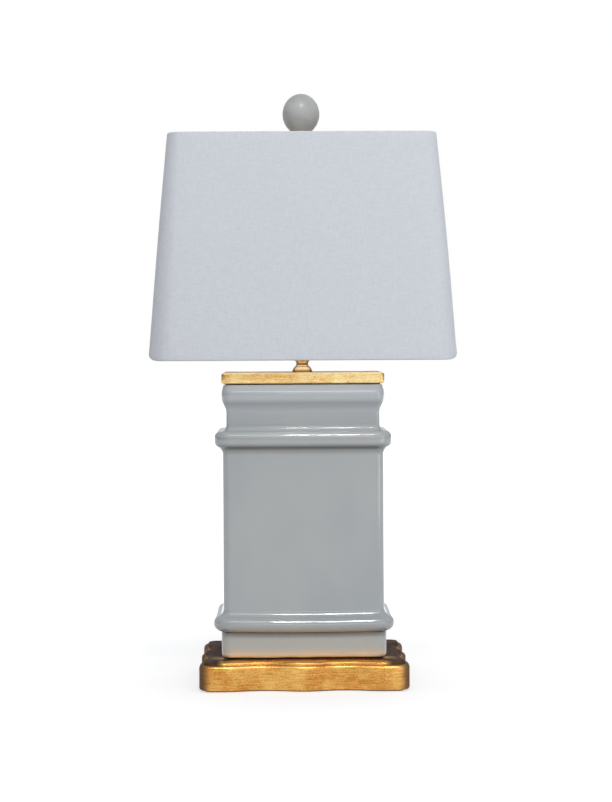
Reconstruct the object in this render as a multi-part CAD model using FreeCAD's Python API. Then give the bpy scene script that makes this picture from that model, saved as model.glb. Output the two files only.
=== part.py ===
import FreeCAD
import Part
import math
import os

# A column table lamp: gilded plinth, glazed rectangular column, gilded cap, brass neck, lampholder,
# harp, rectangular fabric shade and a stone ball finial.
# Millimetres. X is the lamp's width, Y its depth with the front at -Y, Z is up from the table.

# Clearances
SEAT_GAP = 0.15          # flat faces of pieces that come apart
RUNNING_GAP = 0.06       # radial play of a turning or screwed pair
LOOSE_GAP = 0.3          # radial play of pieces that lift off each other
ROD_CLEARANCE = 0.15     # radial play round the threaded rod
HOLE_MARGIN = 0.5        # radial play of the rod in wood and porcelain
END_FLAT = 0.2           # flat left between the two corner arcs of a round end
SAME_LEVEL = 1e-3        # how near two heights are to count as one

# Plinth
PLINTH_WIDTH = 221.0
PLINTH_DEPTH = 158.0
PLINTH_HEIGHT = 28.8
PLINTH_CORNER_RADIUS = 14.0
HOLLOW_DEPTH = 5.5           # how far each hollow of the outline lies inside its lobes
CENTRE_LOBE_SHARE = 0.42     # part of the run from lobe to hollow that is convex
FRONT_HOLLOW_AT = 41.0       # hollows of the long sides, from the middle
FRONT_LOBE_FLAT = 9.5        # straight end of each corner lobe, on the long sides
SIDE_HOLLOW_AT = 28.0
SIDE_LOBE_FLAT = 7.0
STEP_HEIGHT = 2.5            # raised top of the plinth above its round edge
STEP_INSET = 4.6
STEP_EDGE_RADIUS = 1.6
ROUND_EDGE_RADIUS = 3.8
BOTTOM_EDGE_RADIUS = 2.5
RECESS_RADIUS = 22.0         # wiring recess under the plinth
RECESS_DEPTH = 17.0
CORD_HEIGHT = 8.7            # axis of the cord's way above the plinth's underside
CORD_WAY_RADIUS = 5.0

# Felt and gaskets
FELT_THICKNESS = 1.5
FELT_INSET = 6.0
FOOT_GASKET_THICKNESS = 1.9
FOOT_GASKET_INSET = 4.5
FOOT_GASKET_WIDTH = 14.0
CAP_GASKET_THICKNESS = 1.0
CAP_GASKET_INSET = 4.0
CAP_GASKET_WIDTH = 7.0

# Cord bushing
BUSHING_BORE_RADIUS = 3.6
BUSHING_LENGTH = 14.0
BUSHING_FLANGE_RADIUS = 7.5
BUSHING_FLANGE = 2.0

# Porcelain column: the plain middle section, and how far each part stands out from it
COLUMN_WIDTH = 170.4
COLUMN_DEPTH = 104.0
COLUMN_HEIGHT = 288.3
COLUMN_CORNER_RADIUS = 8.0
COLUMN_WALL = 5.0
COLUMN_FLOOR = 7.0
COLUMN_INNER_RADIUS = 6.0
FOOT_STANDS_OUT = 2.1
FOOT_EDGE_RADIUS = 2.6
LOWER_BEAD_STANDS_OUT = 10.0
LOWER_BEAD_RADIUS = 8.0
LOWER_BEAD_HEIGHT = 35.8      # middle of the bead above the foot's underside
LOWER_BEAD_COVE_BELOW = 2.0
LOWER_BEAD_COVE_ABOVE = 8.0
UPPER_BEAD_STANDS_OUT = 8.1
UPPER_BEAD_RADIUS = 6.0
UPPER_BEAD_FLAT = 5.0         # upright part of the bead's face
UPPER_BEAD_HEIGHT = 230.3
UPPER_BEAD_COVE = 6.0
NECK_SECTION_INSET = 3.8
LIP_STANDS_OUT = 1.05
LIP_CURVE_RADIUS = 26.0
LIP_MIDDLE_BELOW_TOP = 11.0
LIP_COVE_RADIUS = 12.0
LIP_EDGE_RADIUS = 1.4

# Cap
CAP_OVERHANG = 1.1            # each way past the column's plain section
CAP_HEIGHT = 11.5
CAP_CORNER_RADIUS = 4.5
CAP_EDGE_RADIUS = 2.4

# Threaded rod and its fixings
ROD_RADIUS = 5.15
ROD_BORE_RADIUS = 3.2
ROD_BELOW_NUT = 2.0
WASHER_RADIUS = 15.0
WASHER_THICKNESS = 1.5
LOCK_WASHER_RADIUS = 8.5
LOCK_WASHER_THICKNESS = 1.2
NUT_ACROSS_FLATS = 15.9
NUT_THICKNESS = 5.0
SADDLE_NUT_ACROSS_FLATS = 14.0
SADDLE_NUT_THICKNESS = 3.0

# Brass neck, radii and heights above the cap
NECK_FLANGE_RADIUS = 10.85
NECK_FLANGE_EDGE = 2.0
NECK_SHOULDER_RADIUS = 8.3
NECK_SHOULDER_HEIGHT = 6.0
NECK_QUIRK = 0.8
NECK_WAIST_RADIUS = 6.3
NECK_WAIST_HEIGHT = 9.2
NECK_CUP_RADIUS = 12.0
NECK_CUP_RIM = 2.0
NECK_HEIGHT = 20.0

# Harp and saddle
SADDLE_THICKNESS = 1.8
SADDLE_WIDTH = 12.0
FOOT_SPREAD = 58.0            # between the harp's feet
SADDLE_POST_RADIUS = 2.9
SADDLE_POST_HEIGHT = 16.0
SADDLE_CUP_DEPTH = 8.0
HARP_HEIGHT = 215.2           # from the saddle to the top of the crown
HARP_WIRE_RADIUS = 1.8
HARP_HALF_WIDTH = 54.0
HARP_STRAIGHT_FOOT = 40.0
HARP_FLARE_HEIGHT = 60.0
HARP_TOP_RADIUS = 44.0
CROWN_LENGTH = 20.0
CROWN_WIDTH = 11.0
CROWN_BELOW_WIRE = 4.0
CROWN_ABOVE_WIRE = 6.3
CROWN_EDGE_RADIUS = 1.5
FERRULE_WALL = 1.0
FERRULE_TOP = 3.0             # length of the ferrule's narrow upper end

# Swivel stud
SHANK_RADIUS = 2.5
SHANK_LENGTH = 3.3
SHOULDER_RADIUS = 8.0
SHOULDER_THICKNESS = 2.4
SHOULDER_CHAMFER = 0.4
STUD_RADIUS = 3.1
STUD_HEIGHT = 15.0            # above the shoulder
STUD_CHAMFER = 0.5

# Shade
SHADE_TOP_WIDTH = 281.0
SHADE_TOP_DEPTH = 182.0
SHADE_TOP_CORNER = 14.0
SHADE_BOTTOM_WIDTH = 321.0
SHADE_BOTTOM_DEPTH = 222.0
SHADE_BOTTOM_CORNER = 24.0
SHADE_HEIGHT = 237.7
FABRIC_THICKNESS = 0.6
LINER_THICKNESS = 0.5
BINDING_SIZE = 3.4            # width and height of the bound edge
BINDING_EDGE_RADIUS = 0.8
RING_RADIUS = 1.2             # wire inside the bound edge
SPIDER_DROP = 8.2             # from the top ring's wire down to the hub
SPIDER_WIRE_RADIUS = 1.4
SPIDER_BEND_RUN = 14.0
HUB_RADIUS = 12.0
HUB_THICKNESS = 3.4

# Finial
FINIAL_WASHER_RADIUS = 7.5
FINIAL_WASHER_THICKNESS = 1.0
FINIAL_FOOT_RADIUS = 8.0
FINIAL_FOOT_HEIGHT = 2.0
FINIAL_STEM_RADIUS = 5.6
FINIAL_CUP_RADIUS = 10.5
FINIAL_CUP_RIM = 1.2
FINIAL_BALL_RADIUS = 20.0
FINIAL_BALL_HALF_HEIGHT = 22.1
FINIAL_BALL_BOTTOM = 13.0     # above the underside of the finial's brass base
FINIAL_BORE_DEPTH = 11.6

# Lampholder
SOCKET_HUB_RADIUS = 8.0
SOCKET_HUB_HEIGHT = 7.0
SOCKET_CAP_RADIUS = 17.5
SOCKET_CAP_HEIGHT = 19.0
SOCKET_SHEET = 0.8
SHELL_RADIUS = 16.2
SHELL_LENGTH = 41.0
SHELL_OVERLAP = 4.0           # length of the shell inside the cap's rim
LINER_SHEET = 0.8
SOCKET_BODY_RADIUS = 14.0
SOCKET_BODY_HEIGHT = 25.8
SCREW_SHELL_RADIUS = 13.3     # inside radius
SCREW_SHELL_SHEET = 0.5
CONTACT_WIDTH = 5.0
CONTACT_LENGTH = 12.0
CONTACT_THICKNESS = 0.5
CONTACT_RISE = 1.6
CONTACT_ROOM = 1.5            # from the contact to the screw shell's floor
TERMINAL_RADIUS = 2.6
TERMINAL_HEAD = 1.0
TERMINAL_SHANK_RADIUS = 1.5
TERMINAL_SHANK = 4.0
TERMINAL_HEIGHT = 8.0         # above the lampholder body's underside
KEY_HEIGHT = 16.3             # of the switch's axis above the body's underside
KEY_SHAFT_RADIUS = 2.0
KEY_SHAFT_DEPTH = 9.0         # length of the shaft inside the body
KEY_SHAFT_OUT = 14.0          # from the shell to the knob
KEY_KNOB_LENGTH = 13.0
KEY_KNOB_WIDTH = 17.0
KEY_KNOB_THICKNESS = 4.0
KEY_KNOB_EDGE_RADIUS = 1.3
KEY_COLLAR_RADIUS = 3.6
KEY_COLLAR_LENGTH = 4.0

# Bulb
BULB_RADIUS = 30.0
BULB_NECK_RADIUS = 12.6
BULB_NECK_CURVE = 45.0
BULB_NECK_LENGTH = 4.0
BULB_WALL = 1.0
BULB_BASE_RADIUS = 13.0
BULB_BASE_LENGTH = 21.0
BULB_BASE_WALL = 0.5
BULB_TIP_RADIUS = 4.5
BULB_TIP_HEIGHT = 2.0
BULB_BUTTON_RADIUS = 9.0
BULB_BUTTON_HEIGHT = 1.8

# Heights of the stack
plinth_bottom = FELT_THICKNESS
plinth_top = plinth_bottom + PLINTH_HEIGHT
column_bottom = plinth_top + FOOT_GASKET_THICKNESS
column_top = column_bottom + COLUMN_HEIGHT
cap_bottom = column_top + CAP_GASKET_THICKNESS
cap_top = cap_bottom + CAP_HEIGHT
neck_top = cap_top + NECK_HEIGHT
saddle_top = neck_top + SADDLE_THICKNESS
socket_bottom = saddle_top + SADDLE_NUT_THICKNESS
socket_body_bottom = socket_bottom + SOCKET_HUB_HEIGHT
socket_body_top = socket_body_bottom + SOCKET_BODY_HEIGHT
socket_cap_top = socket_bottom + SOCKET_CAP_HEIGHT
shell_bottom = socket_cap_top - SHELL_OVERLAP
shell_top = shell_bottom + SHELL_LENGTH
crown_top = saddle_top + HARP_HEIGHT
shoulder_bottom = crown_top + SEAT_GAP
shoulder_top = shoulder_bottom + SHOULDER_THICKNESS
hub_bottom = shoulder_top + SEAT_GAP
hub_top = hub_bottom + HUB_THICKNESS
top_ring_height = hub_bottom + HUB_THICKNESS / 2 + SPIDER_DROP
shade_top = top_ring_height + BINDING_SIZE / 2
shade_bottom = shade_top - SHADE_HEIGHT
finial_washer_bottom = hub_top + SEAT_GAP
finial_bottom = finial_washer_bottom + FINIAL_WASHER_THICKNESS + SEAT_GAP


def at(x, y, z):
    return FreeCAD.Vector(x, y, z)


UP = at(0, 0, 1)


class Outline:
    """A closed outline in the XZ plane, drawn from point to point with lines and arcs."""

    def __init__(self, r, z):
        self.start = (r, z)
        self.now = (r, z)
        self.edges = []

    def line(self, r, z):
        if math.dist(self.now, (r, z)) > SAME_LEVEL / 1000:
            self.edges.append(Part.makeLine(at(self.now[0], 0, self.now[1]), at(r, 0, z)))
        self.now = (r, z)
        return self

    def arc(self, centre, r, z):
        """An arc of less than a half circle about the centre, to the point (r, z)."""
        radius = math.dist(centre, self.now)
        middle_r = (self.now[0] + r) / 2 - centre[0]
        middle_z = (self.now[1] + z) / 2 - centre[1]
        reach = radius / math.hypot(middle_r, middle_z)
        middle = at(centre[0] + middle_r * reach, 0, centre[1] + middle_z * reach)
        ends = (at(self.now[0], 0, self.now[1]), at(r, 0, z))
        self.edges.append(Part.Arc(ends[0], middle, ends[1]).toShape())
        self.now = (r, z)
        return self

    def face(self):
        self.line(*self.start)
        return Part.Face(Part.Wire(self.edges))

    def turned(self):
        """The solid made by turning the outline about the Z axis."""
        return self.face().revolve(at(0, 0, 0), UP, 360)


def s_step(run, rise):
    """The radius of the two equal arcs that carry a path sideways by rise along run."""
    return run / 2 / math.sin(2 * math.atan2(rise, run))


def disc(radius, bottom, height, x=0, y=0):
    return Part.makeCylinder(radius, height, at(x, y, bottom), UP)


def ring(outer, inner, bottom, height, x=0, y=0):
    return disc(outer, bottom, height, x, y).cut(disc(inner, bottom - 1, height + 2, x, y))


def hexagon_nut(across_flats, hole, bottom, height):
    reach = across_flats / math.sqrt(3)
    corners = [at(reach * math.cos(math.radians(60 * i)), reach * math.sin(math.radians(60 * i)), bottom)
               for i in range(7)]
    nut = Part.Face(Part.makePolygon(corners)).extrude(at(0, 0, height))
    return nut.cut(disc(hole, bottom - 1, height + 2))


def rounded_rectangle(width, depth, radius, z):
    """A closed wire of four sides and four corner arcs, counter-clockwise from above."""
    x = width / 2 - radius
    y = depth / 2 - radius
    edges = []
    for corner, (cx, cy) in enumerate([(x, -y), (x, y), (-x, y), (-x, -y)]):
        first = math.radians(90 * corner - 90)
        points = [at(cx + radius * math.cos(first + math.radians(turn)),
                     cy + radius * math.sin(first + math.radians(turn)), z) for turn in (0, 45, 90)]
        if edges:
            edges.append(Part.makeLine(edges[-1].Vertexes[-1].Point, points[0]))
        edges.append(Part.Arc(*points).toShape())
    edges.append(Part.makeLine(edges[-1].Vertexes[-1].Point, edges[0].Vertexes[0].Point))
    return Part.Wire(edges)


def slab(width, depth, radius, bottom, height):
    return Part.Face(rounded_rectangle(width, depth, radius, bottom)).extrude(at(0, 0, height))


def edges_at(shape, z):
    """The edges of a shape that lie wholly in the level z."""
    return [edge for edge in shape.Edges
            if abs(edge.BoundBox.ZMin - z) < SAME_LEVEL and abs(edge.BoundBox.ZMax - z) < SAME_LEVEL]


def moulded_block(width, depth, radius, outline):
    """A block of rounded rectangular plan whose four walls all follow one outline.

    The outline's r is measured from the corner's axis, and the plan has this width, depth and
    corner radius where r equals the radius.
    """
    face = outline.face()
    x = width / 2 - radius
    y = depth / 2 - radius
    bottom = face.BoundBox.ZMin
    height = face.BoundBox.ZLength
    block = Part.makeBox(2 * x, 2 * y, height, at(-x, -y, bottom))
    pieces = []
    for quarter in range(4):
        half_along = (y, x)[quarter % 2]
        half_across = (x, y)[quarter % 2]
        side = face.copy()
        side.translate(at(half_across, -half_along, 0))
        side = side.extrude(at(0, 2 * half_along, 0))
        corner = face.revolve(at(0, 0, 0), UP, 90)
        corner.translate(at(half_across, half_along, 0))
        for piece in (side, corner):
            piece.rotate(at(0, 0, 0), UP, 90 * quarter)
            pieces.append(piece)
    return block.multiFuse(pieces).removeSplitter()


def plinth_plan(inset, z):
    """The plinth's serpentine plan: a centre lobe and two corner lobes on every side."""

    def station(at_rest, inward, slope):
        return at_rest - inset * math.sin(slope), inward + inset * math.cos(slope)

    def half_side(hollow_at, lobe_at):
        """Ends and middles of the arcs from the centre lobe out to the corner lobe."""
        stations = []
        lobes = [(0.0, hollow_at, CENTRE_LOBE_SHARE), (lobe_at, hollow_at - lobe_at, 0.5)]
        for lobe, run, share in lobes:
            angle = 2 * math.atan2(HOLLOW_DEPTH, abs(run))
            whole = abs(run) / math.sin(angle)
            toward = math.copysign(1, run)
            part = []
            for turn in (0, angle / 2, angle):
                along = lobe + toward * share * whole * math.sin(turn)
                inward = share * whole * (1 - math.cos(turn))
                part.append(station(along, inward, toward * turn))
            for turn in (angle / 2, 0):
                along = hollow_at - toward * (1 - share) * whole * math.sin(turn)
                inward = HOLLOW_DEPTH - (1 - share) * whole * (1 - math.cos(turn))
                part.append(station(along, inward, toward * turn))
            stations.append(part)
        return stations[0] + stations[1][::-1][1:]

    half_width = PLINTH_WIDTH / 2
    half_depth = PLINTH_DEPTH / 2
    front_lobe_at = half_width - PLINTH_CORNER_RADIUS - FRONT_LOBE_FLAT
    side_lobe_at = half_depth - PLINTH_CORNER_RADIUS - SIDE_LOBE_FLAT
    sides = [(FRONT_HOLLOW_AT, front_lobe_at, half_depth), (SIDE_HOLLOW_AT, side_lobe_at, half_width)] * 2
    edges = []
    for quarter, (hollow_at, lobe_at, reach) in enumerate(sides):
        half = half_side(hollow_at, lobe_at)
        whole = [(-along, inward) for along, inward in half[::-1]] + half[1:]
        turn = math.radians(90 * quarter)
        points = []
        for along, inward in whole:
            out = reach - inward
            points.append(at(along * math.cos(turn) + out * math.sin(turn),
                             along * math.sin(turn) - out * math.cos(turn), z))
        if edges:
            edges += corner_of_plan(edges[-1].Vertexes[-1].Point, points[0], quarter - 1, inset)
        for first in range(0, len(points) - 2, 2):
            edges.append(Part.Arc(*points[first:first + 3]).toShape())
    edges += corner_of_plan(edges[-1].Vertexes[-1].Point, edges[0].Vertexes[0].Point, 3, inset)
    return Part.Wire(edges)


def corner_of_plan(start, end, corner, inset):
    """The straight ends of two sides of the plinth and the arc between them."""
    x = PLINTH_WIDTH / 2 - PLINTH_CORNER_RADIUS
    y = PLINTH_DEPTH / 2 - PLINTH_CORNER_RADIUS
    cx, cy = [(x, -y), (x, y), (-x, y), (-x, -y)][corner]
    radius = PLINTH_CORNER_RADIUS - inset
    points = []
    for turn in (0, 45, 90):
        angle = math.radians(90 * corner - 90 + turn)
        points.append(at(cx + radius * math.cos(angle), cy + radius * math.sin(angle), start.z))
    return [Part.makeLine(start, points[0]), Part.Arc(*points).toShape(), Part.makeLine(points[2], end)]


def make_base_plinth():
    edge_top = plinth_top - STEP_HEIGHT
    lower = Part.Face(plinth_plan(0, plinth_bottom)).extrude(at(0, 0, edge_top - plinth_bottom))
    lower = lower.makeFillet(ROUND_EDGE_RADIUS, edges_at(lower, edge_top))
    lower = lower.makeFillet(BOTTOM_EDGE_RADIUS, edges_at(lower, plinth_bottom))
    sunk = ROUND_EDGE_RADIUS
    upper = Part.Face(plinth_plan(STEP_INSET, edge_top - sunk)).extrude(at(0, 0, STEP_HEIGHT + sunk))
    upper = upper.makeFillet(STEP_EDGE_RADIUS, edges_at(upper, plinth_top))
    plinth = lower.fuse(upper).removeSplitter()
    plinth = plinth.cut(disc(RECESS_RADIUS, plinth_bottom - 1, RECESS_DEPTH + 1))
    plinth = plinth.cut(disc(ROD_RADIUS + HOLE_MARGIN, plinth_bottom, PLINTH_HEIGHT + 1))
    cord_axis = at(0, 0, plinth_bottom + CORD_HEIGHT)
    return plinth.cut(Part.makeCylinder(CORD_WAY_RADIUS, PLINTH_DEPTH, cord_axis, at(0, 1, 0)))


def make_felt_pad():
    pad = Part.Face(plinth_plan(FELT_INSET, 0)).extrude(at(0, 0, FELT_THICKNESS))
    return pad.cut(disc(RECESS_RADIUS, -1, FELT_THICKNESS + 2))


def make_cord_bushing():
    z = plinth_bottom + CORD_HEIGHT
    rear = PLINTH_DEPTH / 2
    back = at(0, 1, 0)
    sleeve = Part.makeCylinder(CORD_WAY_RADIUS, BUSHING_LENGTH, at(0, rear - BUSHING_LENGTH, z), back)
    flange = Part.makeCylinder(BUSHING_FLANGE_RADIUS, BUSHING_FLANGE, at(0, rear, z), back)
    rim = [edge for edge in flange.Edges if edge.BoundBox.YMin > rear + BUSHING_FLANGE - SAME_LEVEL]
    flange = flange.makeFillet(BUSHING_FLANGE / 2, rim)
    whole = sleeve.fuse(flange).removeSplitter()
    through = BUSHING_LENGTH + BUSHING_FLANGE + 2
    inner_end = at(0, rear - BUSHING_LENGTH - 1, z)
    return whole.cut(Part.makeCylinder(BUSHING_BORE_RADIUS, through, inner_end, back))


def cove_between(bead, bead_radius, wall, cove_radius, direction):
    """A hollow arc that joins a bead to an upright wall, above it (+1) or below it (-1).

    Returns the arc's centre, its end on the wall and its end on the bead.
    """
    across = wall + cove_radius - bead[0]
    reach = bead_radius + cove_radius
    rise = direction * math.sqrt(reach ** 2 - across ** 2)
    centre = (wall + cove_radius, bead[1] + rise)
    on_bead = (bead[0] + across * bead_radius / reach, bead[1] + rise * bead_radius / reach)
    return centre, (wall, centre[1]), on_bead


def column_outline():
    """The column's outer outline, with r measured from the axis of its plan's corner."""
    plain = COLUMN_CORNER_RADIUS
    foot = plain + FOOT_STANDS_OUT
    neck = plain - NECK_SECTION_INSET
    low_bead = (plain + LOWER_BEAD_STANDS_OUT - LOWER_BEAD_RADIUS, column_bottom + LOWER_BEAD_HEIGHT)
    high_out = plain + UPPER_BEAD_STANDS_OUT - UPPER_BEAD_RADIUS
    high_middle = column_bottom + UPPER_BEAD_HEIGHT
    high_low = (high_out, high_middle - UPPER_BEAD_FLAT / 2)
    high_high = (high_out, high_middle + UPPER_BEAD_FLAT / 2)
    lip = (plain + LIP_STANDS_OUT - LIP_CURVE_RADIUS, column_top - LIP_MIDDLE_BELOW_TOP)
    lip_end = column_top - LIP_EDGE_RADIUS
    lip_at_end = lip[0] + math.sqrt(LIP_CURVE_RADIUS ** 2 - (lip_end - lip[1]) ** 2)

    below, below_wall, below_bead = cove_between(low_bead, LOWER_BEAD_RADIUS, foot, LOWER_BEAD_COVE_BELOW, -1)
    above, above_wall, above_bead = cove_between(low_bead, LOWER_BEAD_RADIUS, plain, LOWER_BEAD_COVE_ABOVE, 1)
    under, under_wall, under_bead = cove_between(high_low, UPPER_BEAD_RADIUS, plain, UPPER_BEAD_COVE, -1)
    over, over_wall, over_bead = cove_between(high_high, UPPER_BEAD_RADIUS, neck, UPPER_BEAD_COVE, 1)
    throat, throat_wall, throat_lip = cove_between(lip, LIP_CURVE_RADIUS, neck, LIP_COVE_RADIUS, -1)

    outline = Outline(0, column_bottom)
    outline.line(foot - FOOT_EDGE_RADIUS, column_bottom)
    foot_edge = (foot - FOOT_EDGE_RADIUS, column_bottom + FOOT_EDGE_RADIUS)
    outline.arc(foot_edge, foot, foot_edge[1])
    outline.line(*below_wall)
    outline.arc(below, *below_bead)
    outline.arc(low_bead, low_bead[0] + LOWER_BEAD_RADIUS, low_bead[1])
    outline.arc(low_bead, *above_bead)
    outline.arc(above, *above_wall)
    outline.line(*under_wall)
    outline.arc(under, *under_bead)
    outline.arc(high_low, high_low[0] + UPPER_BEAD_RADIUS, high_low[1])
    outline.line(high_high[0] + UPPER_BEAD_RADIUS, high_high[1])
    outline.arc(high_high, *over_bead)
    outline.arc(over, *over_wall)
    outline.line(*throat_wall)
    outline.arc(throat, *throat_lip)
    outline.arc(lip, lip_at_end, lip_end)
    outline.arc((lip_at_end - LIP_EDGE_RADIUS, lip_end), lip_at_end - LIP_EDGE_RADIUS, column_top)
    outline.line(0, column_top)
    return outline


def make_porcelain_body():
    outer = moulded_block(COLUMN_WIDTH, COLUMN_DEPTH, COLUMN_CORNER_RADIUS, column_outline())
    plain = COLUMN_INNER_RADIUS
    neck = plain - NECK_SECTION_INSET
    turn_in = column_bottom + UPPER_BEAD_HEIGHT
    floor = column_bottom + COLUMN_FLOOR
    inside = Outline(0, floor).line(plain, floor).line(plain, turn_in - UPPER_BEAD_RADIUS)
    inside.line(neck, turn_in + UPPER_BEAD_RADIUS).line(neck, column_top + 1).line(0, column_top + 1)
    cavity = moulded_block(COLUMN_WIDTH - 2 * COLUMN_WALL, COLUMN_DEPTH - 2 * COLUMN_WALL, plain, inside)
    body = outer.cut(cavity)
    return body.cut(disc(ROD_RADIUS + HOLE_MARGIN, column_bottom - 1, COLUMN_FLOOR + 2))


def frame_gasket(width, depth, radius, band, bottom, thickness):
    outer = slab(width, depth, radius, bottom, thickness)
    inner_radius = max(radius - band, radius / 2)
    return outer.cut(slab(width - 2 * band, depth - 2 * band, inner_radius, bottom - 1, thickness + 2))


def make_foot_gasket():
    inset = FOOT_STANDS_OUT - FOOT_GASKET_INSET
    return frame_gasket(COLUMN_WIDTH + 2 * inset, COLUMN_DEPTH + 2 * inset, COLUMN_CORNER_RADIUS + inset,
                        FOOT_GASKET_WIDTH, plinth_top, FOOT_GASKET_THICKNESS)


def make_cap_gasket():
    inset = LIP_STANDS_OUT - CAP_GASKET_INSET
    return frame_gasket(COLUMN_WIDTH + 2 * inset, COLUMN_DEPTH + 2 * inset, COLUMN_CORNER_RADIUS + inset,
                        CAP_GASKET_WIDTH, column_top, CAP_GASKET_THICKNESS)


def make_cap_plate():
    width = COLUMN_WIDTH + 2 * CAP_OVERHANG
    depth = COLUMN_DEPTH + 2 * CAP_OVERHANG
    plate = slab(width, depth, CAP_CORNER_RADIUS, cap_bottom, CAP_HEIGHT)
    plate = plate.makeFillet(CAP_EDGE_RADIUS, edges_at(plate, cap_bottom) + edges_at(plate, cap_top))
    return plate.cut(disc(ROD_RADIUS + HOLE_MARGIN, cap_bottom - 1, CAP_HEIGHT + 2))


recess_top = plinth_bottom + RECESS_DEPTH
lock_washer_bottom = recess_top - WASHER_THICKNESS - LOCK_WASHER_THICKNESS
nut_bottom = lock_washer_bottom - NUT_THICKNESS


def make_rod_washer():
    return ring(WASHER_RADIUS, ROD_RADIUS + ROD_CLEARANCE, recess_top - WASHER_THICKNESS, WASHER_THICKNESS)


def make_rod_lock_washer():
    return ring(LOCK_WASHER_RADIUS, ROD_RADIUS + ROD_CLEARANCE, lock_washer_bottom, LOCK_WASHER_THICKNESS)


def make_rod_nut():
    return hexagon_nut(NUT_ACROSS_FLATS, ROD_RADIUS + ROD_CLEARANCE, nut_bottom, NUT_THICKNESS)


def make_threaded_rod():
    bottom = nut_bottom - ROD_BELOW_NUT
    return ring(ROD_RADIUS, ROD_BORE_RADIUS, bottom, socket_bottom + SOCKET_HUB_HEIGHT - bottom)


def make_neck_ring():
    bore = ROD_RADIUS + ROD_CLEARANCE
    edge = cap_top + NECK_FLANGE_EDGE
    shoulder = cap_top + NECK_SHOULDER_HEIGHT
    waist = cap_top + NECK_WAIST_HEIGHT
    drop = NECK_SHOULDER_HEIGHT - NECK_FLANGE_EDGE
    across = NECK_FLANGE_RADIUS - NECK_SHOULDER_RADIUS
    dome = (across ** 2 + drop ** 2) / (2 * across)
    quirk = NECK_SHOULDER_RADIUS - NECK_QUIRK
    rise = NECK_WAIST_HEIGHT - NECK_SHOULDER_HEIGHT
    narrow = quirk - NECK_WAIST_RADIUS
    cove = (narrow ** 2 + rise ** 2) / (2 * narrow)
    outline = Outline(bore, cap_top).line(NECK_FLANGE_RADIUS, cap_top).line(NECK_FLANGE_RADIUS, edge)
    outline.arc((NECK_FLANGE_RADIUS - dome, edge), NECK_SHOULDER_RADIUS, shoulder)
    outline.line(quirk, shoulder).arc((NECK_WAIST_RADIUS + cove, waist), NECK_WAIST_RADIUS, waist)
    return outline.line(bore, waist).turned()


def make_neck_cup():
    bore = ROD_RADIUS + ROD_CLEARANCE
    waist = cap_top + NECK_WAIST_HEIGHT
    rim = neck_top - NECK_CUP_RIM
    widen = NECK_CUP_RADIUS - NECK_WAIST_RADIUS
    rise = rim - waist
    cove = (widen ** 2 + rise ** 2) / (2 * widen)
    outline = Outline(bore, waist).line(NECK_WAIST_RADIUS, waist)
    outline.arc((NECK_WAIST_RADIUS + cove, waist), NECK_CUP_RADIUS, rim)
    return outline.line(NECK_CUP_RADIUS, neck_top).line(bore, neck_top).turned()


def make_harp_saddle():
    bar = slab(FOOT_SPREAD, SADDLE_WIDTH, (SADDLE_WIDTH - END_FLAT) / 2, neck_top, SADDLE_THICKNESS)
    saddle = bar.fuse([disc(SADDLE_POST_RADIUS, neck_top, SADDLE_POST_HEIGHT, x)
                       for x in (-FOOT_SPREAD / 2, FOOT_SPREAD / 2)]).removeSplitter()
    cup_floor = neck_top + SADDLE_POST_HEIGHT - SADDLE_CUP_DEPTH
    for x in (-FOOT_SPREAD / 2, FOOT_SPREAD / 2):
        saddle = saddle.cut(disc(HARP_WIRE_RADIUS + LOOSE_GAP, cup_floor, SADDLE_CUP_DEPTH + 1, x))
    return saddle.cut(disc(ROD_RADIUS + ROD_CLEARANCE, neck_top - 1, SADDLE_THICKNESS + 2))


def make_saddle_locknut():
    return hexagon_nut(SADDLE_NUT_ACROSS_FLATS, ROD_RADIUS + ROD_CLEARANCE, saddle_top, SADDLE_NUT_THICKNESS)


def make_ferrule(x):
    """A sleeve over one of the saddle's posts, narrow at the top where only the wire passes."""
    wide = SADDLE_POST_RADIUS + LOOSE_GAP
    bottom = saddle_top + SEAT_GAP
    step = neck_top + SADDLE_POST_HEIGHT + SEAT_GAP
    sleeve = ring(wide + FERRULE_WALL, HARP_WIRE_RADIUS + LOOSE_GAP, bottom, step + FERRULE_TOP - bottom, x)
    return sleeve.cut(disc(wide, bottom - 1, step - bottom + 1, x))


def wire_along(edges, radius):
    """A round wire along an open path of tangent lines and arcs."""
    path = Part.Wire(edges)
    first = edges[0]
    direction = first.tangentAt(first.FirstParameter)
    section = Part.Wire(Part.makeCircle(radius, first.valueAt(first.FirstParameter), direction))
    return path.makePipeShell([section], True, False)


def mirrored_in_x(edges):
    """The path drawn on, from its last point, as its own mirror image in the YZ plane."""
    copies = []
    for edge in edges[::-1]:
        first, last = edge.FirstParameter, edge.LastParameter
        points = [edge.valueAt(last), edge.valueAt((first + last) / 2), edge.valueAt(first)]
        flipped = [at(-point.x, point.y, point.z) for point in points]
        if isinstance(edge.Curve, Part.Line):
            copies.append(Part.makeLine(flipped[0], flipped[2]))
        else:
            copies.append(Part.Arc(*flipped).toShape())
    return edges + copies


wire_height = crown_top - CROWN_ABOVE_WIRE


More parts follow.
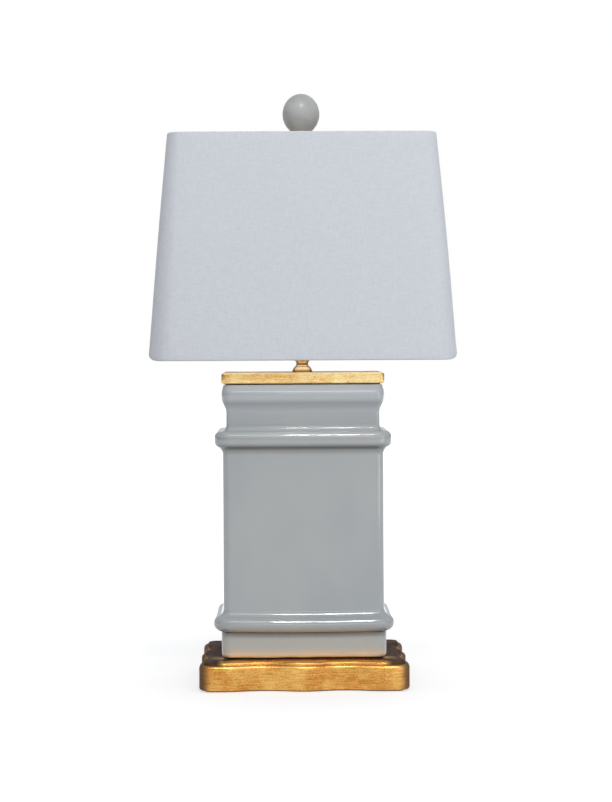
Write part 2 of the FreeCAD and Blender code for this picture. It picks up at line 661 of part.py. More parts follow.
def make_harp_bow():
    foot = FOOT_SPREAD / 2
    start = neck_top + SADDLE_POST_HEIGHT - SADDLE_CUP_DEPTH + SEAT_GAP
    bend = start + HARP_STRAIGHT_FOOT
    flare = HARP_HALF_WIDTH - foot
    radius = s_step(HARP_FLARE_HEIGHT, flare)
    path = Outline(foot, start).line(foot, bend)
    path.arc((foot + radius, bend), foot + flare / 2, bend + HARP_FLARE_HEIGHT / 2)
    path.arc((HARP_HALF_WIDTH - radius, bend + HARP_FLARE_HEIGHT), HARP_HALF_WIDTH, bend + HARP_FLARE_HEIGHT)
    path.line(HARP_HALF_WIDTH, wire_height - HARP_TOP_RADIUS)
    path.arc((HARP_HALF_WIDTH - HARP_TOP_RADIUS, wire_height - HARP_TOP_RADIUS),
             HARP_HALF_WIDTH - HARP_TOP_RADIUS, wire_height)
    path.line(0, wire_height)
    return wire_along(mirrored_in_x(path.edges), HARP_WIRE_RADIUS)


def make_harp_crown(bow):
    bottom = wire_height - CROWN_BELOW_WIRE
    height = crown_top - bottom
    block = slab(CROWN_LENGTH, CROWN_WIDTH, (CROWN_WIDTH - END_FLAT) / 2, bottom, height)
    block = block.makeFillet(CROWN_EDGE_RADIUS, edges_at(block, bottom) + edges_at(block, crown_top))
    shank_hole = disc(SHANK_RADIUS + RUNNING_GAP, crown_top - SHANK_LENGTH - SEAT_GAP, SHANK_LENGTH + 1)
    return block.cut(bow).cut(shank_hole)


def make_swivel_stud():
    shank = disc(SHANK_RADIUS, shoulder_bottom - SHANK_LENGTH, SHANK_LENGTH)
    shoulder = disc(SHOULDER_RADIUS, shoulder_bottom, SHOULDER_THICKNESS)
    shoulder = shoulder.makeChamfer(SHOULDER_CHAMFER, edges_at(shoulder, shoulder_bottom))
    stud = disc(STUD_RADIUS, shoulder_top, STUD_HEIGHT)
    stud = stud.makeChamfer(STUD_CHAMFER, edges_at(stud, shoulder_top + STUD_HEIGHT))
    return shank.fuse([shoulder, stud]).removeSplitter()


def shade_plan(z, inside):
    """The shade's plan at a height, set in from the outer face by the thickness inside."""
    share = (z - shade_bottom) / SHADE_HEIGHT
    width = SHADE_BOTTOM_WIDTH + (SHADE_TOP_WIDTH - SHADE_BOTTOM_WIDTH) * share
    depth = SHADE_BOTTOM_DEPTH + (SHADE_TOP_DEPTH - SHADE_BOTTOM_DEPTH) * share
    corner = SHADE_BOTTOM_CORNER + (SHADE_TOP_CORNER - SHADE_BOTTOM_CORNER) * share
    return rounded_rectangle(width - 2 * inside, depth - 2 * inside, corner - inside, z)


def shade_block(inside):
    levels = (shade_bottom + BINDING_SIZE, shade_top - BINDING_SIZE)
    return Part.makeLoft([shade_plan(z, inside) for z in levels], True, True)


def make_shade_fabric():
    return shade_block(0).cut(shade_block(FABRIC_THICKNESS))


def make_shade_liner():
    return shade_block(FABRIC_THICKNESS).cut(shade_block(FABRIC_THICKNESS + LINER_THICKNESS))


def rim_wire(z, radius):
    """A round wire in the middle of the shade's bound edge at this height."""
    path = shade_plan(z, BINDING_SIZE / 2)
    first = path.Edges[0]
    start = first.FirstParameter
    section = Part.makeCircle(radius, first.valueAt(start), first.tangentAt(start))
    return path.makePipeShell([Part.Wire(section)], True, False)


bottom_ring_height = shade_bottom + BINDING_SIZE / 2


def bound_edge(bottom, free_edge, wire):
    """The bound edge of the shade round its wire, rounded at the height of its free edge."""
    top = bottom + BINDING_SIZE
    outer = Part.makeLoft([shade_plan(z, 0) for z in (bottom, top)], True, True)
    inner = Part.makeLoft([shade_plan(z, BINDING_SIZE) for z in (bottom - 1, top + 1)], True, True)
    band = outer.cut(inner)
    return band.makeFillet(BINDING_EDGE_RADIUS, edges_at(band, free_edge)).cut(wire)


def make_spider_arm(reach, turn):
    """One arm from the hub out to the top ring's wire, dropping to the hub's level."""
    low = hub_bottom + HUB_THICKNESS / 2
    start = HUB_RADIUS - SPIDER_WIRE_RADIUS
    bend = reach - SPIDER_BEND_RUN
    radius = s_step(SPIDER_BEND_RUN, SPIDER_DROP)
    middle = (bend + SPIDER_BEND_RUN / 2, low + SPIDER_DROP / 2)
    path = Outline(start, low).line(bend, low).arc((bend, low + radius), *middle)
    path.arc((reach, top_ring_height - radius), reach, top_ring_height)
    arm = wire_along(path.edges, SPIDER_WIRE_RADIUS)
    arm.rotate(at(0, 0, 0), UP, turn)
    return arm


def make_spider_arms():
    reach_x = SHADE_TOP_WIDTH / 2 - BINDING_SIZE / 2
    reach_y = SHADE_TOP_DEPTH / 2 - BINDING_SIZE / 2
    return [make_spider_arm(reach, 90 * i) for i, reach in enumerate((reach_x, reach_y, reach_x, reach_y))]


def make_spider_hub(arms):
    hub = ring(HUB_RADIUS, STUD_RADIUS + LOOSE_GAP, hub_bottom, HUB_THICKNESS)
    return hub.cut(Part.makeCompound(arms))


def make_finial_washer():
    return ring(FINIAL_WASHER_RADIUS, STUD_RADIUS + LOOSE_GAP, finial_washer_bottom, FINIAL_WASHER_THICKNESS)


ball_middle = finial_bottom + FINIAL_BALL_BOTTOM + FINIAL_BALL_HALF_HEIGHT


def make_finial_ball():
    centre = at(0, 0, ball_middle)
    top = centre + at(0, 0, FINIAL_BALL_HALF_HEIGHT)
    ellipse = Part.Ellipse(top, centre + at(FINIAL_BALL_RADIUS, 0, 0), centre)
    bottom = centre - at(0, 0, FINIAL_BALL_HALF_HEIGHT)
    half = Part.ArcOfEllipse(ellipse, 0, math.pi).toShape()
    face = Part.Face(Part.Wire([half, Part.makeLine(bottom, top)]))
    return face.revolve(centre, UP, 360)


def make_finial_base(ball):
    foot_top = finial_bottom + FINIAL_FOOT_HEIGHT
    depth_at_rim = FINIAL_BALL_HALF_HEIGHT * math.sqrt(1 - (FINIAL_CUP_RADIUS / FINIAL_BALL_RADIUS) ** 2)
    rim = ball_middle - depth_at_rim
    cup = rim - FINIAL_CUP_RIM
    middle = (foot_top + cup) / 2
    outline = Outline(0, finial_bottom).line(FINIAL_FOOT_RADIUS, finial_bottom)
    outline.line(FINIAL_FOOT_RADIUS, foot_top)
    half = (cup - foot_top) / 2
    inward = FINIAL_FOOT_RADIUS - FINIAL_STEM_RADIUS
    radius = (inward ** 2 + half ** 2) / (2 * inward)
    outline.arc((FINIAL_STEM_RADIUS + radius, middle), FINIAL_STEM_RADIUS, middle)
    outward = FINIAL_CUP_RADIUS - FINIAL_STEM_RADIUS
    radius = (outward ** 2 + half ** 2) / (2 * outward)
    outline.arc((FINIAL_STEM_RADIUS + radius, middle), FINIAL_CUP_RADIUS, cup)
    outline.line(FINIAL_CUP_RADIUS, rim).line(0, rim)
    bore = disc(STUD_RADIUS + RUNNING_GAP, finial_bottom - 1, FINIAL_BORE_DEPTH + 1)
    return outline.turned().cut(ball).cut(bore)


def socket_cap_room():
    """The space inside the lampholder's lower cup, open upwards."""
    inner = SOCKET_CAP_RADIUS - SOCKET_SHEET
    bowl_middle = (SOCKET_HUB_RADIUS, socket_body_bottom + inner - SOCKET_HUB_RADIUS)
    room = Outline(0, socket_body_bottom).line(SOCKET_HUB_RADIUS, socket_body_bottom)
    return room.arc(bowl_middle, inner, bowl_middle[1]).line(inner, shell_top).line(0, shell_top).turned()


def make_socket_cap():
    """The lampholder's lower cup, with the threaded hub that screws on the rod."""
    hub_top = socket_bottom + SOCKET_HUB_HEIGHT
    bowl = SOCKET_CAP_RADIUS - SOCKET_HUB_RADIUS
    outline = Outline(ROD_RADIUS + ROD_CLEARANCE, socket_bottom).line(SOCKET_HUB_RADIUS, socket_bottom)
    outline.line(SOCKET_HUB_RADIUS, hub_top - SOCKET_SHEET)
    bowl_middle = (SOCKET_HUB_RADIUS, hub_top - SOCKET_SHEET + bowl)
    outline.arc(bowl_middle, SOCKET_CAP_RADIUS, bowl_middle[1])
    outline.line(SOCKET_CAP_RADIUS, socket_cap_top).line(SOCKET_CAP_RADIUS - SOCKET_SHEET, socket_cap_top)
    outline.line(SOCKET_CAP_RADIUS - SOCKET_SHEET, bowl_middle[1])
    outline.arc(bowl_middle, SOCKET_HUB_RADIUS, hub_top)
    return outline.line(ROD_RADIUS + ROD_CLEARANCE, hub_top).turned()


key_axis_height = socket_body_bottom + KEY_HEIGHT


def key_hole(radius):
    return Part.makeCylinder(radius, SOCKET_CAP_RADIUS + 1, at(0, 0, key_axis_height), at(0, -1, 0))


def make_socket_shell():
    shell = ring(SHELL_RADIUS, SHELL_RADIUS - SOCKET_SHEET, shell_bottom, SHELL_LENGTH)
    return shell.cut(key_hole(KEY_SHAFT_RADIUS + LOOSE_GAP))


def make_socket_liner():
    outer = SHELL_RADIUS - SOCKET_SHEET
    liner = ring(outer, outer - LINER_SHEET, shell_bottom, SHELL_LENGTH)
    return liner.cut(key_hole(KEY_SHAFT_RADIUS + LOOSE_GAP))


def make_socket_body():
    body = disc(SOCKET_BODY_RADIUS, socket_body_bottom, SOCKET_BODY_HEIGHT).common(socket_cap_room())
    wire_room = disc(ROD_RADIUS, socket_body_bottom - 1, SOCKET_HUB_HEIGHT / 2 + 1)
    shaft_hole = Part.makeCylinder(KEY_SHAFT_RADIUS + RUNNING_GAP, KEY_SHAFT_DEPTH + SEAT_GAP + 1,
                                   at(0, -SOCKET_BODY_RADIUS + KEY_SHAFT_DEPTH + SEAT_GAP, key_axis_height),
                                   at(0, -1, 0))
    return body.cut(wire_room).cut(shaft_hole).cut(Part.makeCompound(make_terminal_screws()))


def make_terminal_screws():
    screws = []
    for side in (-1, 1):
        height = socket_body_bottom + TERMINAL_HEIGHT
        shank = Part.makeCylinder(TERMINAL_SHANK_RADIUS, TERMINAL_SHANK,
                                  at(side * (SOCKET_BODY_RADIUS - TERMINAL_SHANK), 0, height), at(side, 0, 0))
        head = Part.makeCylinder(TERMINAL_RADIUS, TERMINAL_HEAD,
                                 at(side * (SOCKET_BODY_RADIUS - TERMINAL_HEAD), 0, height), at(side, 0, 0))
        screws.append(shank.fuse(head).removeSplitter())
    return screws


def make_screw_shell():
    outer = SCREW_SHELL_RADIUS + SCREW_SHELL_SHEET
    shell = ring(outer, SCREW_SHELL_RADIUS, socket_body_top, shell_top - SHELL_OVERLAP / 2 - socket_body_top)
    contact_room = math.hypot(CONTACT_LENGTH, CONTACT_WIDTH) / 2 + CONTACT_ROOM
    return shell.fuse(ring(outer, contact_room, socket_body_top, SCREW_SHELL_SHEET)).removeSplitter()


def make_centre_contact():
    """A springy tab across the bottom of the screw shell, bowed up in its middle."""
    half = CONTACT_LENGTH / 2
    low = socket_body_top
    radius = (half ** 2 + CONTACT_RISE ** 2) / (2 * CONTACT_RISE)
    drop = low + CONTACT_RISE - radius
    outer = radius + CONTACT_THICKNESS
    reach = math.sqrt(outer ** 2 - (low - drop) ** 2)
    tab = Outline(-half, low).arc((0, drop), 0, low + CONTACT_RISE).arc((0, drop), half, low)
    tab.line(reach, low).arc((0, drop), 0, low + CONTACT_RISE + CONTACT_THICKNESS).arc((0, drop), -reach, low)
    solid = tab.face().extrude(at(0, CONTACT_WIDTH, 0))
    solid.translate(at(0, -CONTACT_WIDTH / 2, 0))
    return solid


def make_key_shaft():
    start = -SOCKET_BODY_RADIUS + KEY_SHAFT_DEPTH
    length = SHELL_RADIUS + KEY_SHAFT_OUT + start
    return Part.makeCylinder(KEY_SHAFT_RADIUS, length, at(0, start, key_axis_height), at(0, -1, 0))


def make_key_knob():
    """A flat oval turn key with a round collar on the shaft."""
    start = -(SHELL_RADIUS + KEY_SHAFT_OUT - KEY_COLLAR_LENGTH)
    collar_end = at(0, start, key_axis_height)
    collar = Part.makeCylinder(KEY_COLLAR_RADIUS, KEY_COLLAR_LENGTH + 1, collar_end, at(0, -1, 0))
    middle = start - KEY_COLLAR_LENGTH - KEY_KNOB_LENGTH / 2
    half = KEY_KNOB_THICKNESS / 2
    corner = (KEY_KNOB_LENGTH - END_FLAT) / 2
    paddle = slab(KEY_KNOB_WIDTH, KEY_KNOB_LENGTH, corner, -half, KEY_KNOB_THICKNESS)
    paddle = paddle.makeFillet(KEY_KNOB_EDGE_RADIUS, edges_at(paddle, half) + edges_at(paddle, -half))
    paddle.translate(at(0, middle, key_axis_height))
    knob = collar.fuse(paddle).removeSplitter()
    return knob.cut(make_key_shaft())


bulb_tip_bottom = socket_body_top + CONTACT_RISE + CONTACT_THICKNESS + SEAT_GAP
bulb_button_bottom = bulb_tip_bottom + BULB_TIP_HEIGHT
bulb_base_bottom = bulb_button_bottom + BULB_BUTTON_HEIGHT
bulb_base_top = bulb_base_bottom + BULB_BASE_LENGTH


def bulb_outline(outer, neck, curve, drop):
    """Points of the bulb's envelope: crown, meeting of crown and throat, top of the neck."""
    rise = math.sqrt((outer + curve) ** 2 - (neck + curve) ** 2)
    middle = bulb_base_top + BULB_NECK_LENGTH + drop
    meeting = (outer * (neck + curve) / (outer + curve), middle - rise * outer / (outer + curve))
    return (0, middle), meeting, (neck + curve, middle - rise), (neck, middle - rise)


def make_bulb_glass():
    rise = math.sqrt((BULB_RADIUS + BULB_NECK_CURVE) ** 2 - (BULB_NECK_RADIUS + BULB_NECK_CURVE) ** 2)
    middle, meeting, throat, neck_end = bulb_outline(BULB_RADIUS, BULB_NECK_RADIUS, BULB_NECK_CURVE, rise)
    wall = BULB_WALL
    inner = bulb_outline(BULB_RADIUS - wall, BULB_NECK_RADIUS - wall, BULB_NECK_CURVE + wall, rise)
    in_middle, in_meeting, in_throat, in_neck_end = inner
    bottom = bulb_base_top - BULB_NECK_LENGTH
    glass = Outline(0, middle[1] + BULB_RADIUS).arc(middle, *meeting).arc(throat, *neck_end)
    glass.line(BULB_NECK_RADIUS, bottom).line(BULB_NECK_RADIUS - wall, bottom).line(*in_neck_end)
    glass.arc(in_throat, *in_meeting).arc(in_middle, 0, middle[1] + BULB_RADIUS - wall)
    return glass.turned()


def make_bulb_screw_base():
    shell = ring(BULB_BASE_RADIUS, BULB_NECK_RADIUS, bulb_base_bottom, BULB_BASE_LENGTH)
    lid = ring(BULB_BASE_RADIUS, BULB_BUTTON_RADIUS, bulb_base_bottom, BULB_BASE_WALL)
    return shell.fuse(lid).removeSplitter()


def make_bulb_tip():
    """The insulating button under the screw base, and the contact in its middle."""
    outline = Outline(0, bulb_tip_bottom).line(BULB_TIP_RADIUS, bulb_tip_bottom)
    outline.line(BULB_TIP_RADIUS, bulb_button_bottom).line(BULB_BUTTON_RADIUS, bulb_base_bottom)
    outline.line(BULB_BUTTON_RADIUS, bulb_base_bottom + BULB_BASE_WALL)
    return outline.line(0, bulb_base_bottom + BULB_BASE_WALL).turned()


def build():
    """Every sub-part by name."""
    bow = make_harp_bow()
    arms = make_spider_arms()
    top_wire = rim_wire(top_ring_height, RING_RADIUS).cut(Part.makeCompound(arms))
    bottom_wire = rim_wire(bottom_ring_height, RING_RADIUS)
    ball = make_finial_ball()
    arms_and_wire = Part.makeCompound(arms + [top_wire])
    return {
        "felt_pad": make_felt_pad(),
        "base_plinth": make_base_plinth(),
        "cord_bushing": make_cord_bushing(),
        "rod_washer": make_rod_washer(),
        "rod_lock_washer": make_rod_lock_washer(),
        "rod_nut": make_rod_nut(),
        "foot_gasket": make_foot_gasket(),
        "porcelain_body": make_porcelain_body(),
        "cap_gasket": make_cap_gasket(),
        "cap_plate": make_cap_plate(),
        "threaded_rod": make_threaded_rod(),
        "neck_ring": make_neck_ring(),
        "neck_cup": make_neck_cup(),
        "harp_saddle": make_harp_saddle(),
        "saddle_locknut": make_saddle_locknut(),
        "socket_cap": make_socket_cap(),
        "socket_shell": make_socket_shell(),
        "socket_liner": make_socket_liner(),
        "socket_body": make_socket_body(),
        "terminal_screws": Part.makeCompound(make_terminal_screws()),
        "screw_shell": make_screw_shell(),
        "centre_contact": make_centre_contact(),
        "key_shaft": make_key_shaft(),
        "key_knob": make_key_knob(),
        "harp_bow": bow,
        "harp_crown": make_harp_crown(bow),
        "ferrule_left": make_ferrule(-FOOT_SPREAD / 2),
        "ferrule_right": make_ferrule(FOOT_SPREAD / 2),
        "swivel_stud": make_swivel_stud(),
        "shade_fabric": make_shade_fabric(),
        "shade_liner": make_shade_liner(),
        "shade_top_ring": top_wire,
        "shade_bottom_ring": bottom_wire,
        "top_binding": bound_edge(shade_top - BINDING_SIZE, shade_top, arms_and_wire),
        "bottom_binding": bound_edge(shade_bottom, shade_bottom, bottom_wire),
        "spider_hub": make_spider_hub(arms),
        "spider_arms": Part.makeCompound(arms),
        "finial_washer": make_finial_washer(),
        "finial_base": make_finial_base(ball),
        "finial_ball": ball,
        "bulb_glass": make_bulb_glass(),
        "bulb_screw_base": make_bulb_screw_base(),
        "bulb_tip": make_bulb_tip(),
    }


os.makedirs("parts", exist_ok=True)
for name, shape in build().items():
    solids = len(shape.Solids)
    box = shape.BoundBox
    print(f"{name}: {solids} solid(s), valid {shape.isValid()}, volume {shape.Volume / 1000:.2f} cm3, "
          f"z {box.ZMin:.2f} to {box.ZMax:.2f}")
    shape.exportStep(f"parts/{name}.step")
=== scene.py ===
import logging
import math
from collections.abc import Callable, Iterable, Sequence
from dataclasses import dataclass
from enum import Enum

import bmesh
import bpy
from mathutils import Matrix, Vector, noise


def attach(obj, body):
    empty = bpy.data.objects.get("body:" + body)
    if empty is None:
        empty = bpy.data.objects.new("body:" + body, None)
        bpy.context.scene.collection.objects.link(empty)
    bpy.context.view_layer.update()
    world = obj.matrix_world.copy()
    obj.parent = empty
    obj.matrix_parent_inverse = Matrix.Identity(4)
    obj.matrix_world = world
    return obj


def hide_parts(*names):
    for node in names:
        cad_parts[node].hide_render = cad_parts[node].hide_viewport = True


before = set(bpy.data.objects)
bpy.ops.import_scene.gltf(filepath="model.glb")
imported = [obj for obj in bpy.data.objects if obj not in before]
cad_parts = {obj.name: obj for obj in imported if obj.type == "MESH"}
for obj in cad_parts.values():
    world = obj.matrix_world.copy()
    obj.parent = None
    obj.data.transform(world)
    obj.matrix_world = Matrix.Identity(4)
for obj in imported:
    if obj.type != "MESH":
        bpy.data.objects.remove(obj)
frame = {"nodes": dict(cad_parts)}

MM = 0.001
TURN = 2 * math.pi
SEED = 7  # keeps the handmade unevenness the same in every run
SURFACE = "surface"  # the UV map, in metres along a piece's surface
WORN = "worn"  # how worn each point is, from 0 to 1
# the attribute below carries painted shade on the column and neck, and painted dark reflections on the plinth
PAINTED_DARK = "toned"  # how darkly each point is toned, from 0 to 1
SHARP_PAST = math.radians(38)  # an edge that turns further shows as sharp
TURNED_SHARP_PAST = math.radians(50)
THREAD_SHARP_PAST = math.radians(60)
SEAM = 1e-6  # points nearer than this are one
log = logging.getLogger("column_lamp")

Colour = tuple[float, float, float]
Point = tuple[float, float]


def screen_colour(red: float, green: float, blue: float) -> Colour:
    """Turns a colour as a screen shows it into the linear one that a shader takes.

    Args:
        red: Red from 0 to 255.
        green: Green from 0 to 255.
        blue: Blue from 0 to 255.

    Returns:
        The linear red, green and blue from 0 to 1.
    """
    knee, slope, lift, power = 0.04045, 12.92, 0.055, 2.4

    def straight(value: float) -> float:
        """Takes the screen's curve off one channel."""
        share = value / 255
        return share / slope if share <= knee else ((share + lift) / (1 + lift)) ** power

    return straight(red), straight(green), straight(blue)


class Tree:
    """The nodes of one material or world, added a step at a time."""

    def __init__(self, owner: bpy.types.Material | bpy.types.World) -> None:
        """Empties the owner's nodes and gives it its output.

        Args:
            owner: The material or world that takes the nodes.
        """
        self.owner = owner
        owner.use_nodes = True
        self.nodes = owner.node_tree.nodes
        self.links = owner.node_tree.links
        self.nodes.clear()
        self.output = self.nodes.new("ShaderNodeOutput" + type(owner).__name__)

    @classmethod
    def of_material(cls, name: str) -> "Tree":
        """Starts the nodes of a new material."""
        return cls(bpy.data.materials.new(name))

    def add(self, kind: str, values: dict[str | int, object] | None = None, **options: object) -> bpy.types.Node:
        """Adds a node, sets its options and fills or links its inputs.

        Args:
            kind: The node's type without its ShaderNode prefix.
            values: Inputs by name or number: a socket is linked, anything else is set.
            **options: The node's own properties.

        Returns:
            The new node.
        """
        node = self.nodes.new("ShaderNode" + kind)
        for name, value in options.items():
            setattr(node, name, value)
        for name, value in (values or {}).items():
            if isinstance(value, bpy.types.NodeSocket):
                self.links.new(value, node.inputs[name])
            else:
                node.inputs[name].default_value = value
        return node

    def object_place(self, scale: Sequence[float] = (1, 1, 1)) -> bpy.types.NodeSocket:
        """Gives the point in the piece's own space, stretched by scale."""
        place = self.add("TexCoord").outputs["Object"]
        return self.add("Mapping", {"Vector": place, "Scale": scale}).outputs["Vector"]

    def surface_place(self, scale: Sequence[float] = (1, 1, 1)) -> bpy.types.NodeSocket:
        """Gives the point along the piece's surface, from its own UV map in metres."""
        place = self.add("UVMap", uv_map=SURFACE).outputs["UV"]
        return self.add("Mapping", {"Vector": place, "Scale": scale}).outputs["Vector"]

    def attribute(self, name: str) -> bpy.types.NodeSocket:
        """Gives one of the mesh's own values."""
        return self.add("Attribute", attribute_name=name).outputs["Fac"]

    def noise(self, place: bpy.types.NodeSocket, scale: float, detail: float = 3,
              roughness: float = 0.5, distortion: float = 0) -> bpy.types.NodeSocket:
        """Adds soft noise.

        Args:
            place: Where the noise is read.
            scale: Its features in each metre of place.
            detail: Finer layers on it.
            roughness: How strong the finer layers are.
            distortion: How much it swirls.

        Returns:
            The noise, mostly from 0.3 to 0.7.
        """
        values = {"Vector": place, "Scale": scale, "Detail": detail, "Roughness": roughness,
                  "Distortion": distortion}
        return self.add("TexNoise", values).outputs["Fac"]

    def ramp(self, value: bpy.types.NodeSocket, low: float, high: float,
             start: float = 0, end: float = 1) -> bpy.types.NodeSocket:
        """Turns a value smoothly from low and high to start and end, and holds it there."""
        values = {"Value": value, "From Min": low, "From Max": high, "To Min": start, "To Max": end}
        return self.add("MapRange", values, interpolation_type="SMOOTHSTEP").outputs["Result"]

    def math(self, operation: str, first: object, second: object = 0.0) -> bpy.types.NodeSocket:
        """Works out one step of arithmetic on values or sockets."""
        return self.add("Math", {0: first, 1: second}, operation=operation).outputs[0]

    def mix(self, share: object, first: object, second: object) -> bpy.types.NodeSocket:
        """Mixes two colours.

        Args:
            share: How much of the second colour there is.
            first: A socket or a linear colour.
            second: A socket or a linear colour.

        Returns:
            The mixed colour.
        """
        factor, colour_a, colour_b, mixed = 0, 6, 7, 2
        values = {factor: share, colour_a: opaque(first), colour_b: opaque(second)}
        return self.add("Mix", values, data_type="RGBA").outputs[mixed]

    def bump(self, height: bpy.types.NodeSocket, depth: float,
             under: bpy.types.NodeSocket | None = None) -> bpy.types.NodeSocket:
        """Adds relief of a real depth.

        Args:
            height: The relief from 0 to 1.
            depth: Its depth in metres.
            under: A relief that this one lies on.

        Returns:
            The bent normal.
        """
        values: dict[str | int, object] = {"Height": height, "Distance": depth, "Strength": 1.0}
        if under is not None:
            values["Normal"] = under
        return self.add("Bump", values).outputs["Normal"]

    def surface(self, values: dict[str | int, object]) -> bpy.types.Material:
        """Ends the material in one shader with these inputs.

        Args:
            values: The Principled shader's inputs.

        Returns:
            The finished material.
        """
        shader = self.add("BsdfPrincipled", values)
        self.links.new(shader.outputs["BSDF"], self.output.inputs["Surface"])
        return self.owner


def seen_directly(tree: Tree) -> bpy.types.NodeSocket:
    """Gives 1 for what the camera, a gloss or a glass shows, and 0 for soft light.

    Args:
        tree: The nodes that take it.

    Returns:
        The socket.
    """
    path = tree.add("LightPath")
    glossy = tree.math("MAXIMUM", path.outputs["Is Camera Ray"], path.outputs["Is Glossy Ray"])
    return tree.math("MAXIMUM", glossy, path.outputs["Is Transmission Ray"])


def opaque(colour: object) -> object:
    """Gives a plain colour its alpha, and leaves a socket or number as it is."""
    return (*colour, 1.0) if isinstance(colour, tuple) and len(colour) == 3 else colour


class Profile:
    """A line of (out, up) points in metres, drawn with straight runs and arcs."""

    def __init__(self, out: float, up: float) -> None:
        """Starts the line at a point."""
        self.points: list[Point] = [(out, up)]

    def line(self, out: float, up: float, steps: int = 1) -> "Profile":
        """Draws a straight run to a point in a few steps.

        Args:
            out: Where it ends, outwards.
            up: Where it ends, upwards.
            steps: Its parts.

        Returns:
            The profile, for the next run.
        """
        start = self.points[-1]
        for step in range(1, steps + 1):
            share = step / steps
            self.points.append((start[0] + (out - start[0]) * share, start[1] + (up - start[1]) * share))
        return self

    def arc(self, centre: Point, out: float, up: float, steps: int = 6) -> "Profile":
        """Draws an arc of less than a half circle.

        Args:
            centre: The arc's middle.
            out: Where it ends, outwards.
            up: Where it ends, upwards.
            steps: Its straight parts.

        Returns:
            The profile, for the next run.
        """
        start = self.points[-1]
        first = math.atan2(start[1] - centre[1], start[0] - centre[0])
        last = math.atan2(up - centre[1], out - centre[0])
        sweep = (last - first + math.pi) % TURN - math.pi
        radius = math.dist(start, centre)
        for step in range(1, steps + 1):
            angle = first + sweep * step / steps
            self.points.append((centre[0] + radius * math.cos(angle), centre[1] + radius * math.sin(angle)))
        return self


def rounded(corners: Sequence[tuple[float, float, float]], steps: int = 5) -> list[Point]:
    """Draws a line through corners and rounds each but its two ends.

    Args:
        corners: Each corner's out, up and radius, in metres.
        steps: Straight parts in each round corner.

    Returns:
        The points of the line.
    """
    points: list[Point] = []
    for number, (out, up, radius) in enumerate(corners):
        if radius == 0 or number in (0, len(corners) - 1):
            points.append((out, up))
            continue
        corner = Vector((out, up))
        before = (Vector(corners[number - 1][:2]) - corner).normalized()
        after = (Vector(corners[number + 1][:2]) - corner).normalized()
        half = before.angle(after) / 2
        middle = corner + (before + after).normalized() * radius / math.sin(half)
        start = corner + before * radius / math.tan(half) - middle
        turn = start.angle_signed(corner + after * radius / math.tan(half) - middle)
        for step in range(steps + 1):
            angle = -turn * step / steps
            place = middle + Matrix.Rotation(angle, 2) @ start
            points.append((place.x, place.y))
    return points


class RoundedRectangle:
    """A rectangle with round corners, seen from above, at a fixed count of places round it."""

    def __init__(self, along_x: int, along_y: int, corner: int) -> None:
        """Sets the straight parts in each side along X, each side along Y and each corner."""
        self.sides = (along_y, along_x)
        self.corner = corner

    def ring(self, width: float, depth: float, radius: float, up: float) -> list[Vector]:
        """Places the points of one outline.

        Args:
            width: Across X.
            depth: Across Y.
            radius: Of the corners.
            up: The outline's height.

        Returns:
            The places, counter-clockwise from above.
        """
        x = width / 2 - radius
        y = depth / 2 - radius
        centres = (Vector((x, -y, up)), Vector((x, y, up)), Vector((-x, y, up)), Vector((-x, -y, up)))
        arcs = []
        for number, centre in enumerate(centres):
            angles = [TURN / 4 * (number - 1 + step / self.corner) for step in range(self.corner + 1)]
            arcs.append([centre + Vector((math.cos(a), math.sin(a), 0)) * radius for a in angles])
        places: list[Vector] = []
        for number, arc in enumerate(arcs):
            places += arc
            following = arcs[(number + 1) % len(arcs)][0]
            count = self.sides[number % 2]
            places += [arc[-1].lerp(following, step / count) for step in range(1, count)]
        return places


def circle_under(ring: Sequence[Vector], radius: float, up: float) -> list[Vector]:
    """Places one point on a circle about the axis for each point of a ring."""
    return [Vector((place.x, place.y, 0)).normalized() * radius + Vector((0, 0, up)) for place in ring]


def edges_of(verts: Iterable[bmesh.types.BMVert]) -> list[bmesh.types.BMEdge]:
    """Gives the edges at some points, each once and in the points' order."""
    return list(dict.fromkeys(edge for vert in verts for edge in vert.link_edges))


def loft(bm: bmesh.types.BMesh, rings: Sequence[Sequence[Vector]], closed: bool = True,
         worn: Sequence[float] | None = None) -> None:
    """Extrudes a ring of edges from ring to ring and unwraps it in metres.

    Args:
        bm: The mesh that takes it.
        rings: The places of each ring.
        closed: Whether the last ring is joined to the first.
        worn: How worn the piece is at each ring, from 0 to 1.
    """
    count = len(rings[0])
    place = bm.verts.layers.int.new("place")
    level = bm.verts.layers.int.new("level")
    wear = bm.verts.layers.float.new(WORN)
    started = bmesh.ops.create_circle(bm, segments=count, radius=1.0)["verts"]
    for index, vert in enumerate(started):
        vert[place] = index
        vert.co = rings[0][index]
    edges = edges_of(started)
    first = edges
    for number, ring in enumerate(rings[1:], 1):
        made = bmesh.ops.extrude_edge_only(bm, edges=edges)["geom"]
        fresh = {item for item in made if isinstance(item, bmesh.types.BMVert)}
        for vert in fresh:
            vert.co = ring[vert[place]]
            vert[level] = number
        edges = [item for item in made if isinstance(item, bmesh.types.BMEdge) and set(item.verts) <= fresh]
    if closed:
        bmesh.ops.bridge_loops(bm, edges=first + edges)
    for vert in bm.verts:
        vert[wear] = worn[vert[level]] if worn else 0.0
    longest = max(rings, key=lambda ring: sum((b - a).length for a, b in zip(ring, ring[1:])))
    around = [0.0]
    for a, b in zip(longest, [*longest[1:], longest[0]]):
        around.append(around[-1] + (b - a).length)
    up = [0.0]
    for a, b in zip(rings, [*rings[1:], rings[0]]):
        up.append(up[-1] + (b[0] - a[0]).length)
    uv = bm.loops.layers.uv.new(SURFACE)
    for face in bm.faces:
        seam_round = {loop.vert[place] for loop in face.loops} >= {0, count - 1}
        seam_up = {loop.vert[level] for loop in face.loops} >= {0, len(rings) - 1}
        for loop in face.loops:
            column = count if seam_round and loop.vert[place] == 0 else loop.vert[place]
            row = len(rings) if seam_up and loop.vert[level] == 0 else loop.vert[level]
            loop[uv].uv = (around[column], up[row])


